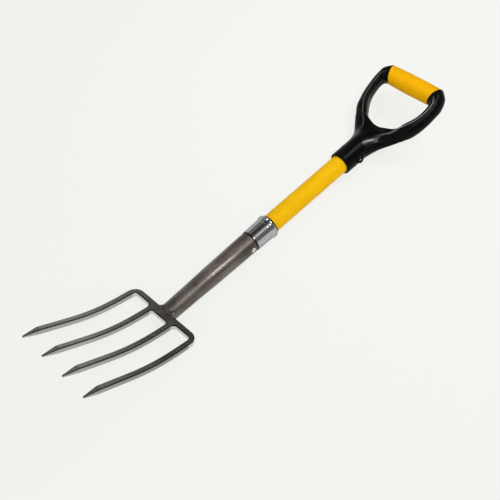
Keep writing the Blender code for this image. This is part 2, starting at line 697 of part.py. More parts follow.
def bar_rings():
    """Return the bar's rings from the grip's seat to the middle of the fork."""
    seat = GRIP_HALF_LENGTH + CLEARANCE
    rings = []
    for distance, slope in ((seat, GRIP_END_SLOPE), (0.5 * seat, 0.0), (0.0, 0.0)):
        outer = (GRIP_REACH + BAR_RADIUS, distance + slope * BAR_RADIUS)
        inner = (GRIP_REACH - BAR_RADIUS, distance - slope * BAR_RADIUS)
        anchor = (GRIP_REACH, distance)
        outer_loop = half_loop(anchor, outer, BAR_RADIUS, OUTER_POINTS, ROUND_SECTION, 1.0)
        inner_loop = half_loop(anchor, inner, BAR_RADIUS, INNER_POINTS, ROUND_SECTION, -1.0)
        rings.append((outer_loop, inner_loop))
    return rings


def make_handle():
    """Loft half of the handle from collar to bar, mirror it, bore it and add its bosses."""
    outers, inners = handle_half_rings()
    for outer, inner in bar_rings():
        outers.append(outer)
        inners.append(inner)
    form = bmesh.new()
    cap = form.verts.new((COLLAR_START, 0.0, 0.0))
    outer_verts = [[form.verts.new(point) for point in ring] for ring in outers]
    inner_verts = [[form.verts.new(point) for point in ring] for ring in inners]
    for near, far in zip(outer_verts, outer_verts[1:]):
        for i in range(OUTER_POINTS - 1):
            form.faces.new((near[i], far[i], far[i + 1], near[i + 1]))
    for near, far in zip(inner_verts, inner_verts[1:]):
        for i in range(INNER_POINTS - 1):
            form.faces.new((near[i], far[i], far[i + 1], near[i + 1]))
    for i in range(OUTER_POINTS - 1):
        form.faces.new((cap, outer_verts[0][i], outer_verts[0][i + 1]))
    bmesh.ops.remove_doubles(form, verts=form.verts, dist=0.00001)
    mesh = bpy.data.meshes.new("handle_frame")
    bmesh.ops.triangulate(form, faces=form.faces[:])
    form.to_mesh(mesh)
    form.free()
    flat = mesh_points(mesh)
    start = flat[:, 0].min()
    knots = [start, HANDLE_BEND_START, HANDLE_BEND_START + HANDLE_BEND_LENGTH, flat[:, 0].max()]
    bent = bend_points(flat, [0.0, 0.0, HANDLE_BEND_ANGLE, HANDLE_BEND_ANGLE], knots)
    bent[:, 0] += start
    set_mesh_points(mesh, bent)
    shade(mesh)
    handle = add_piece("handle_frame", mesh, black_plastic)
    mirror = handle.modifiers.new("other half", "MIRROR")
    mirror.use_axis = (False, True, False)
    mirror.use_clip = True
    mirror.merge_threshold = 0.00001
    boss_foot = COLLAR_RADIUS - BOSS_FLARE / 2.0
    boss_outline = [
        (BOSS_HALF_SPAN, 0.0),
        (BOSS_HALF_SPAN, BOSS_RADIUS - BOSS_ROUND),
        (BOSS_HALF_SPAN - 0.3 * BOSS_ROUND, BOSS_RADIUS - 0.3 * BOSS_ROUND),
        (BOSS_HALF_SPAN - BOSS_ROUND, BOSS_RADIUS),
        (lerp(boss_foot, BOSS_HALF_SPAN - BOSS_ROUND, 0.4), BOSS_RADIUS + 0.3 * BOSS_FLARE),
        (boss_foot, BOSS_RADIUS + BOSS_FLARE),
    ]
    boss = cross_turned("rivet_bosses", boss_outline, HANDLE_RIVET_X)
    boolean(handle, add_cutter("rivet_bosses", boss), "UNION")
    depth = SHAFT_DEPTH_IN_COLLAR + CLEARANCE
    bore = JACKET_RADIUS + CLEARANCE
    bore_outline = [(COLLAR_START + depth, 0.0), (COLLAR_START + depth, bore)]
    bore_outline += [(COLLAR_START - depth, bore), (COLLAR_START - depth, 0.0)]
    boolean(handle, add_cutter("collar_bore", turned_mesh("collar_bore", bore_outline)))
    boolean(handle, handle_rivet_bore)
    floor = BOSS_HALF_SPAN - HANDLE_RIVET_SINK - HANDLE_RIVET_HEAD_HEIGHT - CLEARANCE
    seat_radius = HANDLE_RIVET_HEAD_RADIUS + CLEARANCE
    for side in (1.0, -1.0):
        spot = cross_cylinder("rivet_seat", seat_radius, BOSS_RADIUS / 2.0, HANDLE_RIVET_X)
        spot.transform(Matrix.Translation((0.0, side * (floor + BOSS_RADIUS / 2.0), 0.0)))
        boolean(handle, add_cutter("rivet_seat", spot))
    return handle


def grip_centre():
    """Return the middle of the grip after the handle's bend, as (x, z)."""
    knots = [0.0, HANDLE_BEND_START, HANDLE_BEND_START + HANDLE_BEND_LENGTH, GRIP_REACH]
    flat = np.array([[GRIP_REACH, 0.0, 0.0]])
    bent = bend_points(flat, [0.0, 0.0, HANDLE_BEND_ANGLE, HANDLE_BEND_ANGLE], knots)
    return bent[0, 0], bent[0, 2]


def place_on_grip(mesh):
    """Slant a straight cylinder's ends and lay it on the grip's line."""
    points = mesh_points(mesh)
    points[:, 1] *= 1.0 + GRIP_END_SLOPE * points[:, 0] / GRIP_HALF_LENGTH
    set_mesh_points(mesh, points)
    x, z = grip_centre()
    tilt = Matrix.Rotation(-HANDLE_BEND_ANGLE, 4, "Y")
    mesh.transform(Matrix.Translation((x, 0.0, z)) @ tilt)
    shade(mesh)
    return mesh


def make_grip():
    """Make the yellow sleeve that covers the handle's bar."""
    outline = [(GRIP_HALF_LENGTH, 0.0)]
    for i in range(GRIP_STEPS + 1):
        share = 1.0 - 2.0 * i / GRIP_STEPS
        outline.append((share * GRIP_HALF_LENGTH, GRIP_RADIUS + GRIP_SWELL * (1.0 - share**2)))
    outline.append((-GRIP_HALF_LENGTH, 0.0))
    mesh = turned_mesh("grip_sleeve", outline)
    mesh.transform(Matrix.Rotation(math.pi / 2.0, 4, "Z"))
    sleeve = add_piece("grip_sleeve", place_on_grip(mesh), grip_plastic)
    room = cross_cylinder("bar_room", BAR_RADIUS + CLEARANCE, 2.0 * GRIP_HALF_LENGTH, 0.0, TURN_STEPS)
    boolean(sleeve, add_cutter("bar_room", place_on_grip(room)))
    return sleeve


def lowest(piece, roll, tilt):
    """Return how low a piece reaches once the fork is rolled about its shaft and tilted."""
    graph = bpy.context.evaluated_depsgraph_get()
    turn = np.array(Matrix.Rotation(-tilt, 3, "Y") @ Matrix.Rotation(roll, 3, "X"))
    return (mesh_points(piece.evaluated_get(graph).data) @ turn.T)[:, 2].min()


def resting_roll(head, weld, tilt):
    """Return the roll that brings the head's far shoulder down to the level of the weld."""
    level = 0.0
    too_far = -STEEPEST_ROLL
    for _ in range(ROLL_HALVINGS):
        roll = (level + too_far) / 2.0
        if lowest(head, roll, tilt) > lowest(weld, roll, tilt):
            level = roll
        else:
            too_far = roll
    return level


def lay_on_ground(head, weld):
    """Lay the fork on its back as it comes to rest, and centre it there.

    The weld and the flange are round, so the fork tilts until both touch the ground and then
    rolls until a shoulder of the head touches it too.
    """
    run = -FLANGE_WIDTH / 2.0 - WELD_CROWN_X
    tilt = math.atan2(FLANGE_RADIUS - WELD_CROWN_RADIUS, run)
    rest.rotation_euler = (resting_roll(head, weld, tilt), -tilt, 0.0)
    bpy.context.view_layer.update()
    graph = bpy.context.evaluated_depsgraph_get()
    lows = []
    highs = []
    for piece in parts.objects:
        shown = piece.evaluated_get(graph)
        points = mesh_points(shown.data)
        turn = np.array(shown.matrix_world)
        world = points @ turn[:3, :3].T + turn[:3, 3]
        lows.append(world.min(axis=0))
        highs.append(world.max(axis=0))
    low = np.min(lows, axis=0)
    middle = (low + np.max(highs, axis=0)) / 2.0
    rest.location = Vector((-middle[0], -middle[1], -low[2]))
    bpy.context.view_layer.update()


clear_scene()
parts = make_collection("border_fork")
cutters = make_collection("cutters")
rest = bpy.data.objects.new("rest", None)
bpy.context.scene.collection.objects.link(rest)

forged_steel = make_material("forged steel", (0.09, 0.085, 0.085), 0.42, 0.9)
tube_steel = make_material("tube steel", (0.13, 0.11, 0.10), 0.4, 0.9)
plated_steel = make_material("plated steel", (0.72, 0.73, 0.75), 0.12, 1.0)
bright_steel = make_material("bright steel", (0.65, 0.63, 0.6), 0.3, 1.0)
fibreglass = make_material("fibreglass", (0.62, 0.58, 0.42), 0.5, 0.0)
yellow_plastic = make_material("yellow plastic", (0.85, 0.48, 0.002), 0.4, 0.0)
grip_plastic = make_material("grip plastic", (0.74, 0.37, 0.002), 0.6, 0.0)
black_plastic = make_material("black plastic", (0.006, 0.005, 0.006), 0.35, 0.0)

socket_rivet_bore = add_cutter(
    "socket_rivet_bore",
    cross_cylinder("socket_rivet_bore", RIVET_RADIUS + CLEARANCE, 2.0 * SOCKET_RIM_RADIUS, SOCKET_RIVET_X),
)
handle_rivet_bore = add_cutter(
    "handle_rivet_bore",
    cross_cylinder("handle_rivet_bore", RIVET_RADIUS + CLEARANCE, 2.0 * BOSS_HALF_SPAN, HANDLE_RIVET_X),
)

forged_head = make_tine_head()
weld_bead = make_weld()
make_socket()
make_ferrule()
make_shaft()
make_rivet(
    "socket_rivet",
    SOCKET_RIVET_X,
    socket_radius(SOCKET_RIVET_X) + SOCKET_RIVET_HEAD_HEIGHT / 2.0,
    SOCKET_RIVET_HEAD_RADIUS,
    SOCKET_RIVET_HEAD_HEIGHT,
)
make_rivet(
    "handle_rivet",
    HANDLE_RIVET_X,
    BOSS_HALF_SPAN - HANDLE_RIVET_SINK,
    HANDLE_RIVET_HEAD_RADIUS,
    HANDLE_RIVET_HEAD_HEIGHT,
)
make_handle()
make_grip()
lay_on_ground(forged_head, weld_bead)
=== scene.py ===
"""Border fork: the finished surfaces of every piece, the studio and the camera.

Shapes are worked out in millimetres in the fork's own frame. X runs along the shaft towards
the handle and is zero where the yellow jacket leaves the ferrule, Y runs across the tines and
Z points out of the hollow front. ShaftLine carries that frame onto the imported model.
"""

import json
import logging
import math
from dataclasses import dataclass
from enum import Enum

import bmesh
import bpy
import numpy as np
from mathutils import Matrix, Vector


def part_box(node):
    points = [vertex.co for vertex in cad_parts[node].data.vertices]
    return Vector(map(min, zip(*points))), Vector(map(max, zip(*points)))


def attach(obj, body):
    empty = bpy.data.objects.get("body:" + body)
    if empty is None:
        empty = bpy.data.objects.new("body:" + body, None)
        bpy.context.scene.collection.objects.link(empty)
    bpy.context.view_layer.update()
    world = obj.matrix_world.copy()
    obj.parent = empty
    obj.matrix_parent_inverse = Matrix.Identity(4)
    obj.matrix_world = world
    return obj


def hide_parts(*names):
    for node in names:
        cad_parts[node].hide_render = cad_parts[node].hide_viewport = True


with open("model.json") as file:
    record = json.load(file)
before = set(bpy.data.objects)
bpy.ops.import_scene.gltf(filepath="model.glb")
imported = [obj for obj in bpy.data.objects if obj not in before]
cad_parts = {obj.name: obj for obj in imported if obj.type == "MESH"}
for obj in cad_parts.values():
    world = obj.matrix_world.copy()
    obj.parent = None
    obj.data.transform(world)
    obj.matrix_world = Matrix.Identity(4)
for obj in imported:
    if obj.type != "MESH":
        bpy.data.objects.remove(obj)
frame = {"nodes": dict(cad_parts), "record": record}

LOG = logging.getLogger("border_fork")
MM = 0.001
BODY = "root"
# Stations along the shaft, in millimetres.
SOCKET_RIVET = -49.4
HANDLE_RIVET = 169.5
TREAD = -200.0
# Distances in metres under which points merge and edges collapse.
MERGED = 0.000003
COLLAPSED = 0.000001
# The power of a superellipse that is an ellipse.
ELLIPSE = 2.0
# A stretch that draws clouds out into lines along the shaft.
ALONG = (0.06, 1.0, 1.0)

Array = np.ndarray
Numbers = Array | float
Pair = tuple[float, float]
Colour = tuple[float, float, float]
Options = dict | None


def smooth(value: Numbers) -> Numbers:
    """Ease from 0 to 1 with level ends: 3v^2 - 2v^3 on v held between 0 and 1."""
    held = np.clip(value, 0.0, 1.0)
    return held * held * (3.0 - 2.0 * held)


def ramp(value: Numbers, start: Numbers, length: float) -> Numbers:
    """Ease from 0 at the start to 1 a length past it, or before it if the length is negative."""
    return smooth((value - start) / length)


def lerp(start: Numbers, end: Numbers, share: Numbers) -> Numbers:
    """Blend two numbers or arrays: start plus the share of the way to the end."""
    return start + (end - start) * share


def joined(*values: Numbers) -> Array:
    """Spread arrays to one shape and set them side by side along a new last axis."""
    return np.stack(np.broadcast_arrays(*values), axis=-1)


def quarter(steps: int) -> Array:
    """Return even angles over a quarter turn, one more than the steps."""
    return np.linspace(0.0, math.pi / 2.0, steps + 1)


def rounded_path(corners: list[Pair], radii: tuple[float, ...], steps: int = 6) -> Array:
    """Round the inner corners of a path, each by an arc that touches both of its legs.

    The arc's middle lies on the line that halves the corner, r / sin(half angle) away from it.

    Args:
        corners: The path's corners in order.
        radii: One radius for each corner that isn't an end. Zero keeps the corner.
        steps: Points less one on each arc.

    Returns:
        The rounded path as rows of two numbers.
    """
    path = np.array(corners, dtype=float)
    rows = [path[:1]]
    for before, at, after, radius in zip(path[:-2], path[1:-1], path[2:], radii):
        if radius <= 0.0:
            rows.append(at[None, :])
            continue
        back = (before - at) / np.linalg.norm(before - at)
        ahead = (after - at) / np.linalg.norm(after - at)
        half = 0.5 * math.acos(float(np.clip(back @ ahead, -1.0, 1.0)))
        middle = at + (back + ahead) / np.linalg.norm(back + ahead) * radius / math.sin(half)
        first = at + back * radius / math.tan(half) - middle
        last = at + ahead * radius / math.tan(half) - middle
        share = np.linspace(0.0, 1.0, steps + 1)[:, None]
        turn = math.pi - 2.0 * half
        arc = np.sin((1.0 - share) * turn) * first + np.sin(share * turn) * last
        rows.append(middle + arc / math.sin(turn))
    rows.append(path[-1:])
    return np.vstack(rows)


def spaced_path(path: Array, step: float) -> Array:
    """Add even points to the long legs of a path so that no leg is longer than a step."""
    rows = []
    for start, end in zip(path[:-1], path[1:]):
        count = max(1, math.ceil(float(np.linalg.norm(end - start)) / step))
        rows.append(lerp(start, end, np.linspace(0.0, 1.0, count, endpoint=False)[:, None]))
    rows.append(path[-1:])
    return np.vstack(rows)


def turned(path: Array, steps: int) -> Array:
    """Turn rows of (station, radius) round the X axis: (x_i, r_i cos a_j, r_i sin a_j)."""
    angle = np.linspace(0.0, math.tau, steps, endpoint=False)
    return joined(path[:, :1], path[:, 1:] * np.cos(angle), path[:, 1:] * np.sin(angle))


def bent(points: Array, knots: Array, slopes: Array, samples: int = 4001) -> Array:
    """Bend flat points (distance, width, height) about the width axis.

    The middle line is the running sum of (cos slope, sin slope), and a height stays square to it.

    Args:
        points: Any array whose last axis is (distance, width, height).
        knots: Distances at which the slope is given.
        slopes: The slope at each knot, in radians.
        samples: How many points the running sum is taken over.

    Returns:
        The bent points, in the shape they came in.
    """
    fine = np.linspace(knots[0], knots[-1], samples)
    slope = np.interp(fine, knots, slopes)
    distance, width, height = (points[..., axis] for axis in range(3))
    angle = np.interp(distance, fine, slope)
    sums = []
    for wave in (np.cos(slope), np.sin(slope)):
        steps = np.cumsum(0.5 * (wave[1:] + wave[:-1]) * np.diff(fine))
        sums.append(np.interp(distance, fine, np.concatenate([[0.0], steps])))
    return joined(sums[0] - height * np.sin(angle), width, sums[1] + height * np.cos(angle))


def quads_between(index: Array) -> Array:
    """Return a face between each four neighbours of a grid of point numbers."""
    return joined(index[:-1, :-1], index[1:, :-1], index[1:, 1:], index[:-1, 1:]).reshape(-1, 4)


def new_object(name: str, data: bpy.types.ID) -> bpy.types.Object:
    """Return a new object that stands in the scene."""
    item = bpy.data.objects.new(name, data)
    bpy.context.scene.collection.objects.link(item)
    return item


@dataclass(frozen=True)
class ShaftLine:
    """The fork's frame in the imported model, read from the rivets and the two treads.

    Attributes:
        move: The move from the fork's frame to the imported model's, both in metres.
    """

    move: Matrix

    @classmethod
    def from_model(cls) -> "ShaftLine":
        """Find the frame: X runs through the middles of the rivets, Y from tread to tread."""
        middles = []
        for node in ("socket_rivet", "handle_rivet"):
            low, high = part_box(node)
            middles.append((low + high) / 2.0)
        treads = {mount["name"]: Vector(mount["pos_m"]) for mount in frame["record"]["mounts"]}
        along = (middles[1] - middles[0]).normalized()
        across = treads["tread_left"] - treads["tread_right"]
        across = (across - along * across.dot(along)).normalized()
        move = Matrix((along, across, along.cross(across))).transposed().to_4x4()
        move.translation = middles[0] - along * SOCKET_RIVET * MM
        return cls(move)

    def carry(self, points: Array) -> Array:
        """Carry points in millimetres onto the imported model, in metres."""
        move = np.array(self.move)
        return points * MM @ move[:3, :3].T + move[:3, 3]


@dataclass(frozen=True)
class Pattern:
    """Cloudy noise between 0 and 1.

    Attributes:
        scale: Clouds to the metre.
        detail: Octaves.
        stretch: What each axis is multiplied by first. Below 1 draws the clouds out.
    """

    scale: float
    detail: float
    stretch: Colour = (1.0, 1.0, 1.0)


class Wire:
    """A node's output that takes part in sums, so that shader maths reads as maths."""

    def __init__(self, sheet: "Sheet", socket: bpy.types.NodeSocket) -> None:
        """Hold the output and the sheet that its node lies on."""
        self.sheet = sheet
        self.socket = socket

    def maths(self, operation: str, first: "Wire | float", second: "Wire | float" = 0.0) -> "Wire":
        """Return the result of a Math node."""
        return self.sheet.wire("ShaderNodeMath", {"operation": operation}, {0: first, 1: second})

    def __add__(self, other: "Wire | float") -> "Wire":
        """Return self + other."""
        return self.maths("ADD", self, other)

    def __radd__(self, other: float) -> "Wire":
        """Return other + self."""
        return self.maths("ADD", other, self)

    def __sub__(self, other: "Wire | float") -> "Wire":
        """Return self - other."""
        return self.maths("SUBTRACT", self, other)

    def __rsub__(self, other: float) -> "Wire":
        """Return other - self."""
        return self.maths("SUBTRACT", other, self)

    def __mul__(self, other: "Wire | float") -> "Wire":
        """Return self * other."""
        return self.maths("MULTIPLY", self, other)

    def __rmul__(self, other: float) -> "Wire":
        """Return other * self."""
        return self.maths("MULTIPLY", other, self)

    def ease(self, low: float, high: float) -> "Wire":
        """Return a smooth step from 0 at low to 1 at high."""
        settings = {"interpolation_type": "SMOOTHSTEP"}
        sockets = {"Value": self, "From Min": low, "From Max": high}
        return self.sheet.wire("ShaderNodeMapRange", settings, sockets)

    def size(self) -> "Wire":
        """Return the value without its sign."""
        return self.maths("ABSOLUTE", self)


class Sheet:
    """A node tree with one method that makes any node."""

    def __init__(self, owner: bpy.types.Material | bpy.types.World) -> None:
        """Start on the emptied tree of a material or a world."""
        owner.use_nodes = True
        self.tree = owner.node_tree
        self.tree.nodes.clear()

    def node(self, kind: str, settings: Options = None, sockets: Options = None) -> bpy.types.Node:
        """Make a node.

        Args:
            kind: The node's type.
            settings: Its settings, such as an operation, or a ramp's stops as (place, colour).
            sockets: Values or wires for its inputs, by name or by number.

        Returns:
            The node.
        """
        node = self.tree.nodes.new(kind)
        for key, value in (settings or {}).items():
            if key == "stops":
                self._set_stops(node.color_ramp, value)
            else:
                setattr(node, key, value)
        for key, value in (sockets or {}).items():
            if isinstance(value, Wire):
                self.tree.links.new(value.socket, node.inputs[key])
            else:
                node.inputs[key].default_value = value
        return node

    @staticmethod
    def _set_stops(colours: bpy.types.ColorRamp, stops: list[tuple[float, Colour]]) -> None:
        """Give a colour ramp its stops."""
        while len(colours.elements) < len(stops):
            colours.elements.new(0.5)
        for element, (place, colour) in zip(colours.elements, stops):
            element.position = place
            element.color = (*colour, 1.0)

    def wire(self, kind: str, settings: Options = None, sockets: Options = None,
             output: int | str = 0) -> Wire:
        """Make a node and return one of its outputs."""
        return Wire(self, self.node(kind, settings, sockets).outputs[output])

    def place(self, line: ShaftLine) -> Wire:
        """Return the surface's own place in the fork's frame, in metres."""
        sockets = {"Vector": self.wire("ShaderNodeTexCoord", output="Object")}
        sockets |= {"Location": line.move.translation, "Rotation": line.move.to_euler()}
        return self.wire("ShaderNodeMapping", {"vector_type": "TEXTURE"}, sockets)

    def axes(self, vector: Wire) -> list[Wire]:
        """Split a vector into its three numbers."""
        node = self.node("ShaderNodeSeparateXYZ", None, {"Vector": vector})
        return [Wire(self, output) for output in node.outputs]

    def mark(self, name: str) -> Wire:
        """Return a number that each point of the piece carries, such as its edge or its side."""
        return self.wire("ShaderNodeAttribute", {"attribute_name": name}, output="Fac")

    def noise(self, vector: Wire, pattern: Pattern) -> Wire:
        """Return a pattern, read at a place in metres."""
        drawn = self.wire("ShaderNodeMapping", None, {"Vector": vector, "Scale": pattern.stretch})
        sockets = {"Vector": drawn, "Scale": pattern.scale, "Detail": pattern.detail}
        return self.wire("ShaderNodeTexNoise", None, sockets)

    def blend(self, share: Wire | float, first: "Wire | Colour", second: "Wire | Colour") -> Wire:
        """Mix two colours."""
        colours = [value if isinstance(value, Wire) else (*value, 1.0) for value in (first, second)]
        # The Mix node has inputs of each data type. Its colours are 6 and 7, and their mix is 2.
        sockets = {0: share, 6: colours[0], 7: colours[1]}
        return self.wire("ShaderNodeMix", {"data_type": "RGBA"}, sockets, 2)

    def raised(self, *layers: tuple[Wire, float]) -> Wire:
        """Raise a surface by bumps that lie on each other.

        Args:
            layers: Each pattern, from 0 to 1, and how high its 1 stands, in metres.

        Returns:
            The normal.
        """
        below = {}
        for height, depth in layers:
            sockets = {"Height": height, "Strength": 1.0, "Distance": depth, **below}
            normal = self.wire("ShaderNodeBump", None, sockets)
            below = {"Normal": normal}
        return normal


class Slot(Enum):
    """The record's material slots that the pieces belong to."""

    FORGED = "forged_steel"
    TUBE = "tube_steel"
    PLATED = "plated_steel"
    BRIGHT = "bright_steel"
    JACKET = "yellow_plastic"
    GRIP = "grip_plastic"
    MOULDED = "black_plastic"


class Finish:
    """What all finishes share: a Principled shader fed from the surface's place on the fork."""

    def sockets(self, sheet: Sheet, where: Wire) -> dict:
        """Return the shader's inputs by name, worked out from the surface's place in metres."""
        raise NotImplementedError

    def material(self, line: ShaftLine) -> bpy.types.Material:
        """Build the material.

        Args:
            line: The fork's frame.

        Returns:
            The material.
        """
        material = bpy.data.materials.new(self.name)
        sheet = Sheet(material)
        sockets = self.sockets(sheet, sheet.place(line))
        shader = sheet.wire("ShaderNodeBsdfPrincipled", None, sockets)
        sheet.node("ShaderNodeOutputMaterial", None, {"Surface": shader})
        return material


@dataclass(frozen=True)
class LacqueredSteel(Finish):
    """Dark steel with a clear lacquer, cloudy from the forge and lined along its length.

    Attributes:
        dark: The colour at the tone's dark end, light at its light end.
        edge: The colour of painted shade and dark reflection lines where the piece's edge attribute
            is 1, side the colour of a painted floor reflection where its side attribute is.
        polished: The middle and half length of a stretch worn smoother, in metres, which
            fades between the shares worn of its half length and is less rough by polish.
        span: How much of the tone is a painted light gradient, lighter down the head and towards
            +Y, gradient_run the distances down the head in metres over which it rises, the side
            towards +Y ahead by gradient_turn.
        relief: How high the lines and the grain stand, and swell the clouds, in metres.
        cloudy: How much of the tone is clouds, the rest being lines.
        contrast: The tones that become fully dark and fully light.
        roughened: How much clouds, grain and rounded edges add to the roughness.
        lacquer: The lacquer's weight and roughness.
    """

    name: str
    dark: Colour
    light: Colour
    edge: Colour
    side: Colour
    roughness: float
    lines: Pattern
    polished: Pair = (0.0005, 0.0005)
    polish: float = 0.0
    span: float = 0.0
    swell: float = 0.0002
    relief: Pair = (0.000014, 0.000006)
    gradient_run: Pair = (0.162, 0.34)
    gradient_turn: float = 1.3
    worn: Pair = (0.4, 1.3)
    cloudy: float = 0.7
    contrast: Pair = (0.3, 0.7)
    roughened: Colour = (0.14, 0.06, 0.12)
    lacquer: Pair = (0.15, 0.35)
    clouds: Pattern = Pattern(45.0, 5.0, (0.5, 1.0, 1.0))
    grain: Pattern = Pattern(2600.0, 2.0)

    def sockets(self, sheet: Sheet, where: Wire) -> dict:
        """Mix clouds, lines and a painted light gradient into the tone, and paint shade and
        reflections by the edge and side marks.
        """
        middle, half = self.polished
        along, across, _ = sheet.axes(where)
        worn = 1.0 - (along - middle).size().ease(self.worn[0] * half, self.worn[1] * half)
        # Paints a light gradient over the head, lighter down it and towards +Y.
        painted_gradient = (self.gradient_turn * across - along).ease(*self.gradient_run)
        clouds = sheet.noise(where, self.clouds)
        lines = sheet.noise(where, self.lines)
        grain = sheet.noise(where, self.grain)
        edge = sheet.mark("edge")
        tone = (clouds * self.cloudy + lines * (1.0 - self.cloudy)).ease(*self.contrast)
        tone = tone * (1.0 - self.span) + painted_gradient * self.span
        colour = sheet.blend(tone, self.dark, self.light)
        # The side mark paints a light floor reflection, and the edge mark below paints shade and
        # dark reflection lines.
        colour = sheet.blend(sheet.mark("side"), colour, self.side)
        cloud_share, grain_share, edge_share = self.roughened
        roughness = self.roughness + cloud_share * clouds + grain_share * grain + edge_share * edge
        line_height, grain_height = self.relief
        layers = ((lines, line_height), (grain, grain_height), (clouds, self.swell))
        return {
            "Base Color": sheet.blend(edge, colour, self.edge),
            "Metallic": 1.0,
            "Roughness": roughness - self.polish * worn,
            "Normal": sheet.raised(*layers),
            "Coat Weight": self.lacquer[0],
            "Coat Roughness": self.lacquer[1],
        }


@dataclass(frozen=True)
class PlatedSteel(Finish):
    """Bright plating, nearly a mirror, with faint turning lines and a little dust.

    Attributes:
        painted_shade: The colour of painted shade where the piece's edge attribute is 1.
        dusty: The tones of the dust pattern that are clean and fully dusty.
        dulled: What is left of the colour under dust, which adds dust_roughness.
        ring_height: How high the turning lines stand, in metres.
        tint: The colour at grazing angles.
    """

    name: str
    colour: Colour
    roughness: float
    painted_shade: Colour = (0.03, 0.029, 0.028)
    dusty: Pair = (0.35, 0.75)
    dulled: float = 0.86
    dust_roughness: float = 0.06
    ring_height: float = 0.0000012
    tint: Colour = (0.5, 0.5, 0.5)
    rings: Pattern = Pattern(900.0, 2.0, (1.0, 0.03, 0.03))
    dust: Pattern = Pattern(160.0, 4.0)

    def sockets(self, sheet: Sheet, where: Wire) -> dict:
        """Dull the plating under dust and darken it by painted shade where the edge attribute is 1.
        """
        tone = sheet.noise(where, self.dust).ease(*self.dusty)
        dull = tuple(self.dulled * value for value in self.colour)
        plating = sheet.blend(tone, self.colour, dull)
        return {
            # The edge mark paints shade in the crevices.
            "Base Color": sheet.blend(sheet.mark("edge"), plating, self.painted_shade),
            "Metallic": 1.0,
            "Specular Tint": (*self.tint, 1.0),
            "Roughness": self.roughness + self.dust_roughness * tone,
            "Normal": sheet.raised((sheet.noise(where, self.rings), self.ring_height)),
        }


@dataclass(frozen=True)
class Plastic(Finish):
    """A plastic with a fine skin, slightly cloudy in colour and gloss.

    Attributes:
        shade: The colour of its clouds.
        skin: How high the skin's grain stands, and wave its clouds, in metres.
        gloss: How strongly it mirrors, where 0.5 is a usual plastic.
        shine: How much it is polished where the piece's side attribute is 1.
        painted_highlight: The colour of a highlight painted along a crest, where its edge attribute
            is 1.
        cloudy: How much of the tone is clouds, the rest being flow lines.
        contrast: The tones that become fully the colour and fully the shade.
        roughened: How much the tone and the skin add to the roughness.
    """

    name: str
    colour: Colour
    shade: Colour
    roughness: float
    skin: float
    grain: Pattern
    gloss: float
    shine: float = 0.0
    painted_highlight: Colour = (0.0, 0.0, 0.0)
    shine_roughness: float = 0.24
    wave: float = 0.00005
    cloudy: float = 0.75
    contrast: Pair = (0.3, 0.75)
    roughened: Pair = (0.1, 0.05)
    clouds: Pattern = Pattern(60.0, 4.0, (0.4, 1.0, 1.0))
    flow: Pattern = Pattern(420.0, 2.0, (0.08, 1.0, 1.0))

    def sockets(self, sheet: Sheet, where: Wire) -> dict:
        """Mix clouds and flow lines into the tone, paint a highlight along the crests and polish
        them.
        """
        clouds = sheet.noise(where, self.clouds)
        flow = sheet.noise(where, self.flow)
        skin = sheet.noise(where, self.grain)
        tone = (clouds * self.cloudy + flow * (1.0 - self.cloudy)).ease(*self.contrast)
        colour = sheet.blend(tone, self.colour, self.shade)
        tone_share, skin_share = self.roughened
        return {
            # The edge mark paints a light highlight colour along a crest.
            "Base Color": sheet.blend(sheet.mark("edge"), colour, self.painted_highlight),
            "Roughness": self.roughness + tone_share * tone + skin_share * skin,
            "Normal": sheet.raised((skin, self.skin), (clouds, self.wave)),
            "Specular IOR Level": self.gloss,
            "Coat Weight": self.shine * sheet.mark("side"),
            "Coat Roughness": self.shine_roughness,
        }


@dataclass(frozen=True)
class BareRod(Finish):
    """Glass fibre in resin, drawn out along the rod."""

    name: str = "drawn glass fibre"
    pale: Colour = (0.62, 0.58, 0.42)
    deep: Colour = (0.45, 0.41, 0.26)
    roughness: float = 0.4
    fibre_roughness: float = 0.2
    fibre_height: float = 0.00005
    fibres: Pattern = Pattern(1500.0, 3.0, (0.02, 1.0, 1.0))

    def sockets(self, sheet: Sheet, where: Wire) -> dict:
        """Colour, roughen and raise the rod by long fine streaks."""
        fibres = sheet.noise(where, self.fibres)
        return {
            "Base Color": sheet.blend(fibres, self.pale, self.deep),
            "Roughness": self.roughness + self.fibre_roughness * fibres,
            "Normal": sheet.raised((fibres, self.fibre_height)),
        }


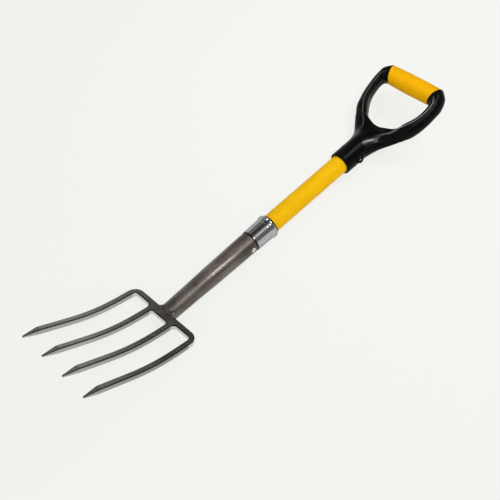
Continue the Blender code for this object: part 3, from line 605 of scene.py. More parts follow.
class Skin:
    """Collects grids of points and joins them into one closed piece."""

    def __init__(self) -> None:
        """Start with no points."""
        self.points: list[Array] = []
        self.quads: list[Array] = []
        self.marks: dict[str, list[Array]] = {"edge": [], "side": []}
        self.count = 0

    def add(self, grid: Array, loop_rows: bool = False, loop_columns: bool = False,
            **marks: Numbers) -> "Skin":
        """Add a grid of points with a face between each four neighbours.

        Args:
            grid: Points in millimetres, rows by columns by three.
            loop_rows: Whether the last row joins the first.
            loop_columns: Whether the last column joins the first.
            marks: What each point carries for its finish as edge and side, from 0 to 1.

        Returns:
            The skin itself.
        """
        index = np.arange(grid[..., 0].size).reshape(grid.shape[:2]) + self.count
        if loop_rows:
            index = np.vstack([index, index[:1]])
        if loop_columns:
            index = np.hstack([index, index[:, :1]])
        self.points.append(grid.reshape(-1, 3))
        self.quads.append(quads_between(index))
        for mark, values in self.marks.items():
            values.append((np.zeros(grid.shape[:2]) + marks.get(mark, 0.0)).ravel())
        self.count += grid[..., 0].size
        return self

    def piece(self, name: str, line: ShaftLine, finish: bpy.types.Material, slot: Slot,
              stands_for: tuple[str, ...], crease: float) -> None:
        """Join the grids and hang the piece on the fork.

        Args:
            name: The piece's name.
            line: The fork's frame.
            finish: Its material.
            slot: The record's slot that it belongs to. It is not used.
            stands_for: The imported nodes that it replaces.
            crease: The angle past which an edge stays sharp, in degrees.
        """
        points = line.carry(np.vstack(self.points))
        quads = np.vstack(self.quads)
        mesh = bpy.data.meshes.new(name)
        mesh.from_pydata(points.tolist(), [], quads.tolist())
        for mark, values in self.marks.items():
            attribute = mesh.attributes.new(mark, "FLOAT", "POINT")
            attribute.data.foreach_set("value", np.concatenate(values).astype(np.float32))
        form = bmesh.new()
        form.from_mesh(mesh)
        bmesh.ops.remove_doubles(form, verts=form.verts, dist=MERGED)
        bmesh.ops.dissolve_degenerate(form, edges=form.edges, dist=COLLAPSED)
        bmesh.ops.recalc_face_normals(form, faces=form.faces)
        open_edges = sum(1 for item in form.edges if not item.is_manifold)
        form.to_mesh(mesh)
        form.free()
        mesh.shade_smooth()
        mesh.set_sharp_from_angle(angle=math.radians(crease))
        mesh.materials.append(finish)
        piece = new_object(name, mesh)
        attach(piece, BODY)
        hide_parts(*stands_for)
        LOG.info("%s: %d faces, %d open edges", name, len(mesh.polygons), open_edges)


@dataclass
class Form:
    """What all pieces share: a name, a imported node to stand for, and a skin of their own.

    Attributes:
        crease: The angle past which an edge stays sharp, in degrees.
    """

    name: str
    node: str
    slot: Slot
    crease: float = 50.0

    def skin(self) -> Skin:
        """Return the form's grids."""
        raise NotImplementedError

    def build(self, line: ShaftLine, finish: bpy.types.Material) -> None:
        """Build the piece and dress it."""
        self.skin().piece(self.name, line, finish, self.slot, (self.node,), self.crease)


@dataclass
class TineHead(Form):
    """The forging: a yoke with square shoulders and four curved tines, all of one thickness.

    It is laid out flat, as (distance from the tread, width, height), and then bent forward.

    Attributes:
        lift: How far the forging's middle lies forward of the shaft's line at the tread.
        gaps: Each gap's depth, and the radii of its +Y and -Y corners.
        yoke_wall_light: How strongly a painted reflection of the bright floor lightens the yoke's
            walls, and tine_wall_light the tines'.
        line_in: Where round an edge its painted dark reflection line starts, as (start, length) in
            shares.
        line_out: Where it ends, and wall_in where the wall's painted floor reflection starts.
        back_line: How dark the back edge's painted line is.
        spare: How far the bend is worked out past the tread and past the points.
    """

    name: str = "forged_tine_head"
    node: str = "tine_head"
    slot: Slot = Slot.FORGED
    lift: float = 1.2
    half_width: float = 66.1
    root: float = 12.0
    thickness: float = 8.4
    end_thickness: float = 8.1
    shoulder: float = 15.0
    shoulder_run: float = 3.0
    gaps: tuple[Colour, ...] = ((9.0, 4.0, 6.5), (14.0, 4.0, 4.0), (9.0, 6.5, 4.0))
    root_width: float = 8.8
    end_width: float = 8.7
    tip_spread: float = 65.0
    length: float = 185.0
    point_length: float = 22.0
    point_width: float = 3.0
    point_thickness: float = 2.2
    point_softness: float = 0.5
    edge_round: float = 1.9
    yoke_wall_light: float = 0.9
    tine_wall_light: float = 0.35
    line_in: Pair = (0.0, 0.15)
    line_out: Pair = (0.5, 0.25)
    wall_in: Pair = (0.55, 0.35)
    back_line: float = 0.5
    yoke_slope: float = math.radians(14.9)
    tine_slope: float = math.radians(32.6)
    bend_start: float = 18.0
    bend_length: float = 108.0
    bend_steps: int = 40
    spare: Pair = (5.0, 1.0)
    tines: int = 4
    across: int = 8
    along: int = 90
    point_rows: int = 26
    arc_steps: int = 10
    flat_steps: int = 14
    yoke_rows: int = 8
    round_steps: int = 8

    def down_tine(self, distance: Numbers) -> Numbers:
        """Return how far down a tine's even stretch a distance is, from 0 to 1."""
        even = self.length - self.point_length - self.root
        return np.clip((distance - self.root) / even, 0.0, 1.0)

    def into_point(self, distance: Numbers) -> Numbers:
        """Return how far into the point a distance is, from 0 to 1."""
        return np.clip((distance - self.length + self.point_length) / self.point_length, 0.0, 1.0)

    def softness(self, distance: Numbers) -> Numbers:
        """Return how far the edges are rounded: fully, and less so towards the point."""
        return lerp(1.0, self.point_softness, self.into_point(distance))

    def centre(self, index: int, distance: Numbers) -> Numbers:
        """Return a tine's middle: a straight line from its root to its tip."""
        share = (distance - self.root) / (self.length - self.root)
        outer = lerp(self.half_width - self.root_width / 2.0, self.tip_spread, share)
        return outer * (self.tines - 1 - 2 * index) / (self.tines - 1)

    def half_tine(self, distance: Numbers) -> Numbers:
        """Return half a tine's width: even to the point, then straight in, then a round nose."""
        even = lerp(self.root_width, self.end_width, self.down_tine(distance)) / 2.0
        nose = self.point_width / 2.0
        into = (distance - self.length + self.point_length) / (self.point_length - nose)
        tapered = lerp(even, nose, np.clip(into, 0.0, 1.0))
        past = np.clip(distance - (self.length - nose), 0.0, nose)
        return np.where(past > 0.0, np.sqrt(np.maximum(nose**2 - past**2, 0.0)), tapered)

    def side(self, index: int, way: int, distance: Array, inset: float) -> Array:
        """Return one side of a tine as (distance, width), drawn in by the inset.

        Args:
            index: Which tine, from the +Y side.
            way: 1 for the side towards +Y and -1 for the other.
            distance: Distances from the tread.
            inset: How far the side is drawn into the metal.

        Returns:
            The side's points.
        """
        nose = self.point_width / 2.0
        drawn = inset * self.softness(distance)
        reach = distance - drawn * ramp(distance, self.length - nose, nose)
        drawn_in = self.half_tine(distance) * (1.0 - drawn / nose)
        half = np.where(distance > self.length - nose, drawn_in, self.half_tine(distance) - drawn)
        return joined(reach, self.centre(index, distance) + way * half)

    def root_start(self, index: int, way: int) -> float:
        """Return the distance at which a tine's straight side starts."""
        gap = index - 1 if way == 1 else index
        if gap not in range(len(self.gaps)):
            return self.shoulder + self.shoulder_run
        bottom, left, right = self.gaps[gap]
        return bottom + (right if way == 1 else left)

    def gap_path(self, gap: int, inset: float) -> Array:
        """Return the foot of a gap: an arc, a straight run and an arc, from +Y to -Y."""
        turn = quarter(self.arc_steps)
        bottom, left, right = self.gaps[gap]
        arcs = []
        for way, tine, radius, angle in ((1, gap, left, turn), (-1, gap + 1, right, turn[::-1])):
            middle = bottom + radius
            width = self.side(tine, -way, np.array([middle]), 0.0)[0, 1] - way * radius
            grown = radius + inset
            arcs.append(joined(middle - grown * np.sin(angle), width + way * grown * np.cos(angle)))
        share = np.linspace(0.0, 1.0, self.flat_steps + 1)[1:-1, None]
        return np.vstack([arcs[0], lerp(arcs[0][-1], arcs[1][0], share), arcs[1]])

    def tread_path(self, share: Array, inset: float) -> Array:
        """Return points on the tread and its two round shoulders, from +Y to -Y.

        The share runs by length: a quarter turn, the straight tread and a quarter turn.
        """
        arc = self.shoulder * math.pi / 2.0
        flat = 2.0 * (self.half_width - self.shoulder)
        whole = 2.0 * arc + flat
        travelled = share * whole
        second = travelled > arc + flat / 2.0
        mirrored = np.where(second, whole - travelled, travelled)
        turn = np.clip(mirrored / self.shoulder, 0.0, math.pi / 2.0)
        radius = self.shoulder - inset
        past = np.clip(mirrored - arc, 0.0, None)
        width = self.half_width - self.shoulder + radius * np.cos(turn) - past
        return joined(self.shoulder - radius * np.sin(turn), np.where(second, -width, width))

    def foot_path(self, inset: float) -> Array:
        """Return the yoke's lower line from +Y to -Y: tine roots and gap feet by turns."""
        rows = []
        share = np.linspace(0.0, 1.0, self.across + 1)[:, None]
        for index in range(self.tines):
            first, last = (
                self.side(index, way, np.array([self.root_start(index, way)]), inset)
                for way in (1, -1)
            )
            rows.append(lerp(first, last, share))
            if index < self.tines - 1:
                rows.append(self.gap_path(index, inset)[1:-1])
        return np.vstack(rows)

    def levels(self, distance: Array) -> tuple[Array, Array]:
        """Return the heights of the back and front faces: level, then falling to the point."""
        half = lerp(self.thickness, self.end_thickness, self.down_tine(distance)) / 2.0
        return -half, lerp(half, self.point_thickness - half, self.into_point(distance))

    def bend(self, flat: Array) -> Array:
        """Bend the flat head: level slope at the yoke, easing to the tines' slope."""
        share = np.linspace(0.0, 1.0, self.bend_steps + 1)
        eased = self.bend_start + share * self.bend_length
        knots = np.concatenate([[-self.spare[0]], eased, [self.length + self.spare[1]]])
        slope = lerp(self.yoke_slope, self.tine_slope, smooth(share))
        slopes = np.concatenate([[self.yoke_slope], slope, [self.tine_slope]])
        placed = bent(flat, knots, slopes) - bent(np.zeros((1, 3)), knots, slopes)[0]
        return placed * np.array([-1.0, 1.0, 1.0]) + np.array([TREAD, 0.0, self.lift])

    def faces(self, skin: Skin, plan: Array) -> None:
        """Add the front and back faces over a grid of (distance, width)."""
        low, high = self.levels(plan[..., 0])
        for height in (high, low):
            skin.add(self.bend(np.concatenate([plan, height[..., None]], axis=-1)))

    def rim(self, skin: Skin, paths: list[Array], wall_light: float) -> None:
        """Add a rounded rim: a quarter round, the wall and a quarter round.

        Args:
            skin: The skin that it is added to.
            paths: The same path at each inset of the rim's profile.
            wall_light: How strongly the wall is lightened by a painted reflection of the floor,
                from 0 to 1.
        """
        drops = self.edge_round * (1.0 - np.cos(quarter(self.round_steps)))
        rows = []
        for number, path in enumerate(paths):
            low, high = self.levels(path[:, 0])
            drop = drops[min(number, len(paths) - 1 - number)] * self.softness(path[:, 0])
            height = high - drop if number < len(drops) else low + drop
            rows.append(np.concatenate([path, height[:, None]], axis=-1))
        # The edge mark paints a dark reflection line round each rounded edge, and the side mark
        # paints a light floor reflection on the walls.
        share = quarter(self.round_steps) / (math.pi / 2.0)
        line = ramp(share, *self.line_in) * (1.0 - ramp(share, *self.line_out))
        wall = wall_light * ramp(share, *self.wall_in)
        edge = np.concatenate([line, self.back_line * line[::-1]])[:, None]
        side = np.concatenate([wall, wall[::-1]])[:, None]
        skin.add(self.bend(np.stack(rows)), edge=edge, side=side)

    def skin(self) -> Skin:
        """Join two faces of the yoke and of each tine by the rounded rims between them."""
        skin = Skin()
        insets = self.edge_round * (1.0 - np.sin(quarter(self.round_steps)))
        insets = np.concatenate([insets, insets[::-1]])
        foot = self.foot_path(self.edge_round)
        shares = (self.half_width - self.foot_path(0.0)[:, 1]) / (2.0 * self.half_width)
        rows = np.linspace(0.0, 1.0, self.yoke_rows + 1)[:, None, None]
        self.faces(skin, lerp(self.tread_path(shares, self.edge_round)[None], foot[None], rows))
        self.rim(skin, [self.tread_path(shares, inset) for inset in insets], self.yoke_wall_light)
        for gap in range(self.tines - 1):
            self.rim(skin, [self.gap_path(gap, inset) for inset in insets], self.yoke_wall_light)
        for end in (0, -1):
            paths = []
            for inset in insets:
                top = self.tread_path(shares[[end]], inset)
                paths.append(lerp(top, self.foot_path(inset)[[end]], rows[:, 0]))
            self.rim(skin, paths, self.yoke_wall_light)
        even = np.linspace(0.0, 1.0, self.along + 1)
        nose = np.sin(quarter(self.point_rows)[1:])
        share = np.linspace(0.0, 1.0, self.across + 1)[None, :, None]
        point = self.length - self.point_length
        for index in range(self.tines):
            runs = {}
            for way in (1, -1):
                straight = lerp(self.root_start(index, way), point, even)
                runs[way] = np.concatenate([straight, lerp(point, self.length, nose)])
            first, last = (
                self.side(index, way, run, self.edge_round)[:, None] for way, run in runs.items()
            )
            self.faces(skin, lerp(first, last, share))
            for way, run in runs.items():
                paths = [self.side(index, way, run, inset) for inset in insets]
                self.rim(skin, paths, self.tine_wall_light)
        return skin


@dataclass
class Socket(Form):
    """The steel tube, drawn in towards the head, with a dimple round each end of its rivet."""

    name: str = "drawn_socket"
    node: str = "socket_tube"
    slot: Slot = Slot.TUBE
    crease: float = 40.0
    rim: float = -22.0
    step: float = -41.3
    base: float = -194.0
    seat_radius: float = 15.0
    rim_radius: float = 15.75
    lip: float = 0.5
    body_radius: float = 15.1
    neck_radius: float = 13.45
    base_radius: float = 12.95
    taper_start: float = -95.0
    taper_end: float = -168.0
    rim_shade: float = 1.7
    wall: float = 2.0
    dimple_radius: float = 6.2
    dimple_depth: float = 1.5
    rows: int = 190
    lip_steps: int = 5
    steps: int = 144

    def radius(self, station: Array) -> Array:
        """Return the outside radius: a slight narrowing, a smooth draw and a straight neck."""
        start, end = self.taper_start, self.taper_end
        body = np.interp(station, [start, self.step], [self.body_radius, self.rim_radius])
        drawn = lerp(self.body_radius, self.neck_radius, ramp(station, start, end - start))
        neck = np.interp(station, [self.base, end], [self.base_radius, self.neck_radius])
        return np.where(station > start, body, np.where(station > end, drawn, neck))

    def skin(self) -> Skin:
        """Turn the tube and press in the dimples, each a smooth hollow round the rivet's line."""
        outer = np.linspace(self.step - self.lip, self.base, self.rows)
        turn = quarter(self.lip_steps)[:-1]
        inward, down = self.lip * (1.0 - np.cos(turn)), self.lip * (1.0 - np.sin(turn))
        path = np.vstack([
            [[self.rim, self.seat_radius], [self.step, self.seat_radius]],
            joined(self.step - inward, self.rim_radius - down),
            joined(outer, self.radius(outer)),
        ])
        grid = turned(np.vstack([path, path[::-1] - (0.0, self.wall)]), self.steps)
        reach = np.hypot(grid[..., 0] - SOCKET_RIVET, grid[..., 2])
        sink = self.dimple_depth * smooth(1.0 - reach / self.dimple_radius)
        grid[..., 1] -= np.sign(grid[..., 1]) * sink
        # Paints shade on the tube's last stretch before its rim, where the ferrule meets it.
        near_rim = ramp(grid[..., 0], self.step - self.rim_shade, self.lip)
        return Skin().add(grid, loop_rows=True, loop_columns=True, edge=near_rim)


@dataclass
class WeldBead(Form):
    """The weld that carries the tube down onto the yoke, dressed nearly smooth.

    Attributes:
        fall: The power by which the radius falls from the crown to the nose.
        flare: How far the bead spreads along the plate at the tread. It grows by flare_power
            and is gone flare_length past the tread.
        lump: How high the ripples stand. They come in over the share settle of the bead.
        ripples: Each wave's count round the bead, its twist for each millimetre, phase and share.
    """

    name: str = "socket_weld_bead"
    node: str = "socket_weld"
    slot: Slot = Slot.TUBE
    crease: float = 60.0
    start: float = -192.5
    crown: float = -196.5
    nose: float = -208.5
    start_radius: float = 12.75
    crown_radius: float = 13.0
    fall: float = 1.3
    flare: float = 8.0
    flare_power: float = 2.2
    flare_length: float = 4.8
    plate_half: float = 4.8
    plate_lift: float = 1.6
    lump: float = 0.22
    ripples: tuple[tuple[float, float, float, float], ...] = (
        (5.0, 1.1, 0.0, 1.0), (11.0, -0.9, 1.3, 0.7), (17.0, 1.7, 0.4, 0.5),
    )
    settle: float = 0.25
    steps: int = 144
    rows: int = 60

    def skin(self) -> Skin:
        """Turn a bead whose radius holds, falls to the yoke and flares along the tread.

        With u the share of the way from the crown to the nose, the radius falls as 1 - u^fall.
        The flare's section is exp(-d^4), d being the distance across the plate in half plates.
        """
        share = np.linspace(0.0, 1.0, self.rows)[:, None]
        station = lerp(self.start, self.nose, share)
        angle = np.linspace(0.0, math.tau, self.steps, endpoint=False)[None, :]
        swell = ramp(station, self.start, self.crown - self.start)
        past = np.clip((self.crown - station) / (self.crown - self.nose), 0.0, 1.0)
        radius = lerp(self.start_radius, self.crown_radius, swell) * (1.0 - past**self.fall)
        beside = (np.sin(angle) * self.crown_radius - self.plate_lift) / self.plate_half
        near = np.clip((self.start - station) / (self.start - TREAD), 0.0, 1.0)
        near = near**self.flare_power * (1.0 - ramp(station, TREAD, -self.flare_length))
        ripple = sum(
            height * (np.sin(turns * angle + twist * station + phase) - 1.0)
            for turns, twist, phase, height in self.ripples
        )
        radius = radius + self.flare * np.exp(-(beside**4)) * near
        radius = radius + self.lump * ripple * ramp(share, 0.0, self.settle) * (1.0 - past)
        grid = joined(station, radius * np.cos(angle), radius * np.sin(angle))
        middle = np.array([[[self.start, 0.0, 0.0]]]).repeat(self.steps, axis=1)
        return Skin().add(np.concatenate([middle, grid]), loop_columns=True)


@dataclass
class Ferrule(Form):
    """The plated cap over the socket's mouth, with a rolled bead round the shaft.

    Attributes:
        seam: Where the turned path starts and ends, inside the bore.
        rounds: The radius of each corner in turn.
        shaded_lip: Where painted shade starts at the bead's lip by the shaft, and shaded_mouth
            where it starts at the mouth by the tube.
    """

    name: str = "plated_ferrule"
    node: str = "ferrule"
    slot: Slot = Slot.PLATED
    length: float = 41.0
    mouth_radius: float = 16.2
    body_radius: float = 16.8
    bead_radius: float = 18.2
    foot: float = 13.8
    shoulder: float = 9.8
    brow: float = 5.8
    lip: float = 2.0
    seam: float = 8.0
    lip_radius: float = 15.5
    shaft_radius: float = 14.25
    seat_radius: float = 15.3
    seat_depth: float = 22.0
    rounds: tuple[float, ...] = (0.4, 0.8, 3.0, 4.0, 4.0, 0.12, 0.1, 0.0, 0.0)
    spacing: float = 0.8
    shaded_lip: float = 5.4
    shaded_mouth: float = 39.9
    shade_fade: float = 1.1
    steps: int = 144

    def skin(self) -> Skin:
        """Turn the cap from a path whose corners are arcs."""
        corners = [
            (-self.seam, self.shaft_radius),
            (-self.lip, self.shaft_radius),
            (-self.lip, self.lip_radius),
            (-self.brow, self.bead_radius),
            (-self.shoulder, self.bead_radius),
            (-self.foot, self.body_radius),
            (-self.length, self.mouth_radius),
            (-self.length, self.seat_radius),
            (-self.seat_depth, self.seat_radius),
            (-self.seat_depth, self.shaft_radius),
            (-self.seam, self.shaft_radius),
        ]
        path = spaced_path(rounded_path(corners, self.rounds), self.spacing)
        grid = turned(path[:-1], self.steps)
        # Paint shade in the crevices: at the lip beside the shaft and at the mouth beside the tube.
        at_lip = ramp(grid[..., 0], -self.shaded_lip, self.shade_fade)
        at_mouth = ramp(grid[..., 0], -self.shaded_mouth, -self.shade_fade)
        painted_shade = np.maximum(at_lip, at_mouth)
        return Skin().add(grid, loop_rows=True, loop_columns=True, edge=painted_shade)


@dataclass
class Jacket(Form):
    """The smooth yellow jacket of the shaft, with no print."""

    name: str = "shaft_jacket_tube"
    node: str = "shaft_jacket"
    slot: Slot = Slot.JACKET
    start: float = -21.0
    end: float = 197.0
    radius: float = 14.15
    bore: float = 12.95
    rounding: float = 0.3
    spacing: float = 4.0
    steps: int = 128

    def skin(self) -> Skin:
        """Turn the jacket as a thin tube."""
        first, last = (self.start, self.bore), (self.start, self.radius)
        corners = [first, (self.end, self.bore), (self.end, self.radius), last, first]
        path = spaced_path(rounded_path(corners, (self.rounding,) * 3), self.spacing)
        return Skin().add(turned(path[:-1], self.steps), loop_rows=True, loop_columns=True)


@dataclass
class Rivet(Form):
    """A rivet across the shaft's line, domed over a share of its head's height at each end."""

    slot: Slot = Slot.BRIGHT
    station: float = SOCKET_RIVET
    half_span: float = 15.9
    head_radius: float = 3.7
    head_height: float = 1.6
    dome: float = 0.7
    shank_radius: float = 2.4
    dome_steps: int = 13
    steps: int = 64

    def skin(self) -> Skin:
        """Turn the rivet, domed by a quarter ellipse at each end, and lay it across."""
        turn = quarter(self.dome_steps)
        fall = self.dome * self.head_height * (1.0 - np.cos(turn))
        dome = joined(self.half_span - fall, self.head_radius * np.sin(turn))
        under = self.half_span - self.head_height
        half = np.vstack([dome, [[under, self.head_radius], [under, self.shank_radius]]])
        grid = turned(np.vstack([half, half[::-1] * (-1.0, 1.0)]), self.steps)
        laid = joined(grid[..., 1] + self.station, grid[..., 0], grid[..., 2])
        return Skin().add(laid, loop_columns=True)


@dataclass(frozen=True)
class GripPlace:
    """Where the handle's plane bends forward, and where the grip with its slanted ends lies."""

    bend_start: float = 198.0
    bend_length: float = 30.0
    bend_angle: float = math.radians(16.0)
    reach: float = 316.3
    half_length: float = 42.1
    end_slope: float = 0.307
    far: float = 400.0

    def bend(self, flat: Array, start: float) -> Array:
        """Bend flat handle points (reach, width, height) forward from the collar."""
        knots = np.array([start, self.bend_start, self.bend_start + self.bend_length, self.far])
        slopes = np.array([0.0, 0.0, self.bend_angle, self.bend_angle])
        return bent(flat, knots, slopes) + np.array([start, 0.0, 0.0])


@dataclass
class GripSleeve(Form):
    """The matt sleeve on the cross bar: a slight barrel with slanted ends."""

    name: str = "grip_sleeve_barrel"
    node: str = "grip_sleeve"
    slot: Slot = Slot.GRIP
    place: GripPlace = GripPlace()
    radius: float = 14.6
    swell: float = 0.75
    end_round: float = 0.7
    rows: int = 81
    steps: int = 144

    def skin(self) -> Skin:
        """Turn a barrel, r = radius + swell (1 - s^2), slant its ends and lay it on the bar."""
        half = self.place.half_length
        share = np.linspace(-1.0, 1.0, self.rows)
        barrel = joined(share * half, self.radius + self.swell * (1.0 - share**2))
        barrel[0] += (self.end_round, 0.0)
        barrel[-1] -= (self.end_round, 0.0)
        cap = joined(half, np.array([self.radius - self.end_round, self.radius / 2.0, 0.0]))
        grid = turned(np.vstack([cap[::-1] * (-1.0, 1.0), barrel, cap]), self.steps)
        forward = grid[..., 1]
        slant = 1.0 + self.place.end_slope * forward / half
        flat = joined(self.place.reach + forward, grid[..., 0] * slant, grid[..., 2])
        return Skin().add(self.place.bend(flat, 0.0), loop_columns=True)


@dataclass
class HandleFrame(Form):
    """The moulded frame: a collar, a neck that parts into two arms, and the bar they hold.

    Attributes:
        mouth: How far in the collar's rounded mouth reaches, and how much narrower it starts.
        neck_line: The neck as rows of (reach, half width, half depth).
        arm_line: An arm from the crotch to the grip. Each row holds the outer point's reach and
            width, the inner point's reach and width, the half depth, how far across the section
            its ridge stands, and the lift.
        gripped: Where the section turns into the grip's, and parted where the arms part. These
            and the pairs below are a start and a length of reach, or of a share.
        outer_powers: The sections' powers on the arm and at the grip.
        inner_powers: The same in the crotch, on the arm and at the grip.
        crest_line: The crest in plan, as rows of (reach, width).
        crest_widths: Its width on the neck and on the arm, changing over narrowing.
        web_edge: How far inside the crest the web has its full depth.
        faced: How far round a section crest and web reach, and fronted how far the painted
            highlight line and the polish reach.
        on_arm: Where the neck's polish gives way to the arm's painted highlight line.
        polished: The heights on the crest that are polished.
        highlight_and_polish: How strongly the crests towards +Y and -Y carry the painted highlight
            line and the polish.
    """

    name: str = "moulded_handle"
    node: str = "handle_frame"
    slot: Slot = Slot.MOULDED
    crease: float = 60.0
    place: GripPlace = GripPlace()
    start: float = 144.0
    collar_end: float = 183.0
    collar_radius: float = 17.83
    mouth: Pair = (1.8, 1.5)
    mouth_steps: int = 8
    level_rows: int = 65
    level_start: float = 0.5
    bore: float = 14.25
    bore_round: float = 0.6
    depth: float = 53.8
    crotch_centre: float = 227.8
    seat_radius: float = 15.1
    bar_radius: float = 10.0
    clearance: float = 0.3
    lean: float = 0.12
    neck_line: tuple[Colour, ...] = (
        (183.0, 17.83, 17.83), (194.176, 20.9429, 16.8458), (205.352, 26.2793, 14.5962),
        (217.544, 35.618, 12.0654), (230.244, 44.9567, 10.8),
    )
    arm_line: tuple[tuple[float, ...], ...] = (
        (231.325, 45.479, 231.3, 0.0, 10.8, 0.0, -0.5),
        (242.875, 52.332, 238.3375, 23.97, 12.76, 0.34, 0.5),
        (255.0025, 56.3815, 250.795, 35.72, 13.6, 0.31, 1.0),
        (270.1, 60.1195, 268.285, 44.415, 12.04, 0.31, 1.0),
        (287.0125, 61.9885, 287.425, 47.0, 11.0, 0.36, 1.0),
        (303.1, 62.1754, 299.072, 46.765, 12.26, 0.36, 0.7),
        (318.928, 58.3751, 301.116, 44.65, 14.24, 0.4, 1.0),
        (326.812, 51.3975, 301.992, 41.83, 15.1, 0.45, 0.6),
    )
    middle_ridge: float = 0.34
    gripped: Pair = (301.7, 21.9)
    parted: Pair = (233.8, 24.75)
    outer_powers: Pair = (2.2, ELLIPSE)
    inner_powers: Colour = (ELLIPSE, 2.8, ELLIPSE)
    boss_radius: float = 5.4
    boss_heights: Pair = (0.9, 2.9)
    boss_round: float = 0.9
    boss_flares: Pair = (3.0, 1.8)
    boss_sink: float = 3.3
    sink_radius: float = 4.1
    sink_round: float = 0.5
    crest_line: tuple[Pair, ...] = (
        (178.0, 11.4), (187.5, 11.8), (196.0, 12.5), (204.0, 14.0), (212.0, 15.2), (218.0, 17.2),
        (223.5, 20.5), (229.5, 25.4), (235.0, 30.6), (241.0, 35.0), (248.0, 39.8), (255.0, 44.0),
        (263.0, 47.3), (272.5, 50.1), (283.5, 52.2), (293.0, 52.8), (303.0, 51.9), (311.0, 47.0),
    )
    crest_points: int = 500
    crest_height: float = 0.5
    crest_widths: Pair = (6.5, 1.8)
    narrowing: Pair = (188.0, 45.0)
    crest_in: Pair = (180.0, 14.0)
    crest_out: Pair = (302.0, 12.0)
    line_width: float = 0.8
    web_sink: float = 1.8
    web_in: Pair = (200.0, 22.0)
    web_out: Pair = (240.0, 12.0)
    web_edge: float = 7.0
    faced: Pair = (0.3, 0.35)
    fronted: Pair = (0.25, 0.3)
    on_arm: Pair = (210.0, 16.0)
    polished: Pair = (0.15, 0.4)
    highlight_and_polish: Pair = (0.4, 1.0)
    substeps: int = 14
    outer_points: int = 81
    inner_points: int = 61

    def collar_rows(self) -> Array:
        """Return the collar and its rounded mouth as (reach, half width, half depth)."""
        turn = quarter(self.mouth_steps)
        reach = self.start + self.mouth[0] * (1.0 - np.cos(turn))
        radius = self.collar_radius - self.mouth[1] * (1.0 - np.sin(turn))
        level = np.linspace(reach[-1] + self.level_start, self.collar_end, self.level_rows + 1)[:-1]
        even = joined(level, self.collar_radius, self.collar_radius)
        return np.vstack([joined(reach, radius, radius), even])

    def arm_rows(self) -> Array:
        """Return the arm's driving rows, the last of which is the slanted end of the grip."""
        place = self.place
        along = self.seat_radius / math.hypot(1.0, place.end_slope)
        across = place.end_slope * along
        seat = place.half_length + self.clearance
        outer, inner = (place.reach + along, seat + across), (place.reach - along, seat - across)
        return np.array([*self.arm_line, (*outer, *inner, self.seat_radius, 0.5, 0.0)])

    def spline(self, rows: Array, before: Array | None = None) -> Array:
        """Run a cubic through the rows, with each tangent half the step between its neighbours."""
        first = 2.0 * rows[0] - rows[1] if before is None else before
        after = np.vstack([rows[1:], 2.0 * rows[-1] - rows[-2]])
        tangents = (after - np.vstack([first, rows[:-1]])) / 2.0
        t = np.linspace(0.0, 1.0, self.substeps, endpoint=False)[None, :, None]
        curve = (
            (2.0 * t**3 - 3.0 * t**2 + 1.0) * rows[:-1, None]
            + (3.0 * t**2 - 2.0 * t**3) * rows[1:, None]
            + (t**3 - 2.0 * t**2 + t) * tangents[:-1, None]
            + (t**3 - t**2) * tangents[1:, None]
        )
        return np.vstack([curve.reshape(-1, rows.shape[1]), rows[-1:]])

    @staticmethod
    def half_loops(anchor: Array, tip: Array, depth: Array, count: int,
                   power: Numbers) -> Array:
        """Return half sections from the front ridge round the tip to the back.

        Each is a superellipse: across = cos^(2/p), height = depth sin^(2/p).

        Args:
            anchor: The ridge's place in plan for each section.
            tip: The far point in plan for each section.
            depth: The half depth of each section.
            count: Points on each half section.
            power: The superellipse's power for each section.

        Returns:
            A grid of (reach, width, height).
        """
        angle = np.linspace(0.5 * math.pi, -0.5 * math.pi, count)[None, :]
        exponent = np.broadcast_to(2.0 / power, depth.shape)[:, None]
        across = np.abs(np.cos(angle)) ** exponent
        across[:, [0, -1]] = 0.0
        height = np.sign(np.sin(angle)) * np.abs(np.sin(angle)) ** exponent * depth[:, None]
        plan = anchor[:, None, :] + across[..., None] * (tip - anchor)[:, None, :]
        return np.concatenate([plan, height[..., None]], axis=-1)

    def outer_and_inner(self) -> tuple[Array, Array]:
        """Return the grids of the handle's outer side and of its inner side, for +Y."""
        trunk = np.vstack([self.collar_rows(), self.spline(np.array(self.neck_line))])
        middle = joined(trunk[:, 0], 0.0)
        stem = self.half_loops(middle, trunk[:, :2], trunk[:, 2], self.outer_points, ELLIPSE)
        driving = self.arm_rows()
        before = 2.0 * driving[0] - driving[1]
        before[2:4] = (driving[1, 2], -driving[1, 3])
        arms = self.spline(driving, before)
        outer, inner = arms[:, 0:2], arms[:, 2:4]
        near_middle = smooth(1.0 - arms[:, 5:6] / self.middle_ridge)
        reach = outer - inner
        ridge = inner + arms[:, 5:6] * reach
        anchor = lerp(ridge, np.array([self.crotch_centre, 0.0]), near_middle)
        near_grip = ramp(arms[:, 0], *self.gripped)
        past = ramp(arms[:, 2], *self.parted)
        crotch_power, arm_power, grip_power = self.inner_powers
        inner_power = lerp(crotch_power, lerp(arm_power, grip_power, near_grip), past)
        lean = -(self.lean * past * (1.0 - near_grip))[:, None] * reach
        lean = lean / np.linalg.norm(reach, axis=1)[:, None]
        grids = []
        for tip, count, power in (
            (outer, self.outer_points, lerp(*self.outer_powers, near_grip)),
            (inner, self.inner_points, inner_power),
        ):
            grid = self.half_loops(anchor, tip, arms[:, 4], count, power)
            grid[..., :2] += grid[..., 2:] * lean[:, None, :]
            grid[..., 2] += arms[:, 6:7]
            grids.append(grid)
        outer_bar, inner_bar = self.bar()
        return np.vstack([stem, grids[0], outer_bar]), np.vstack([grids[1], inner_bar])

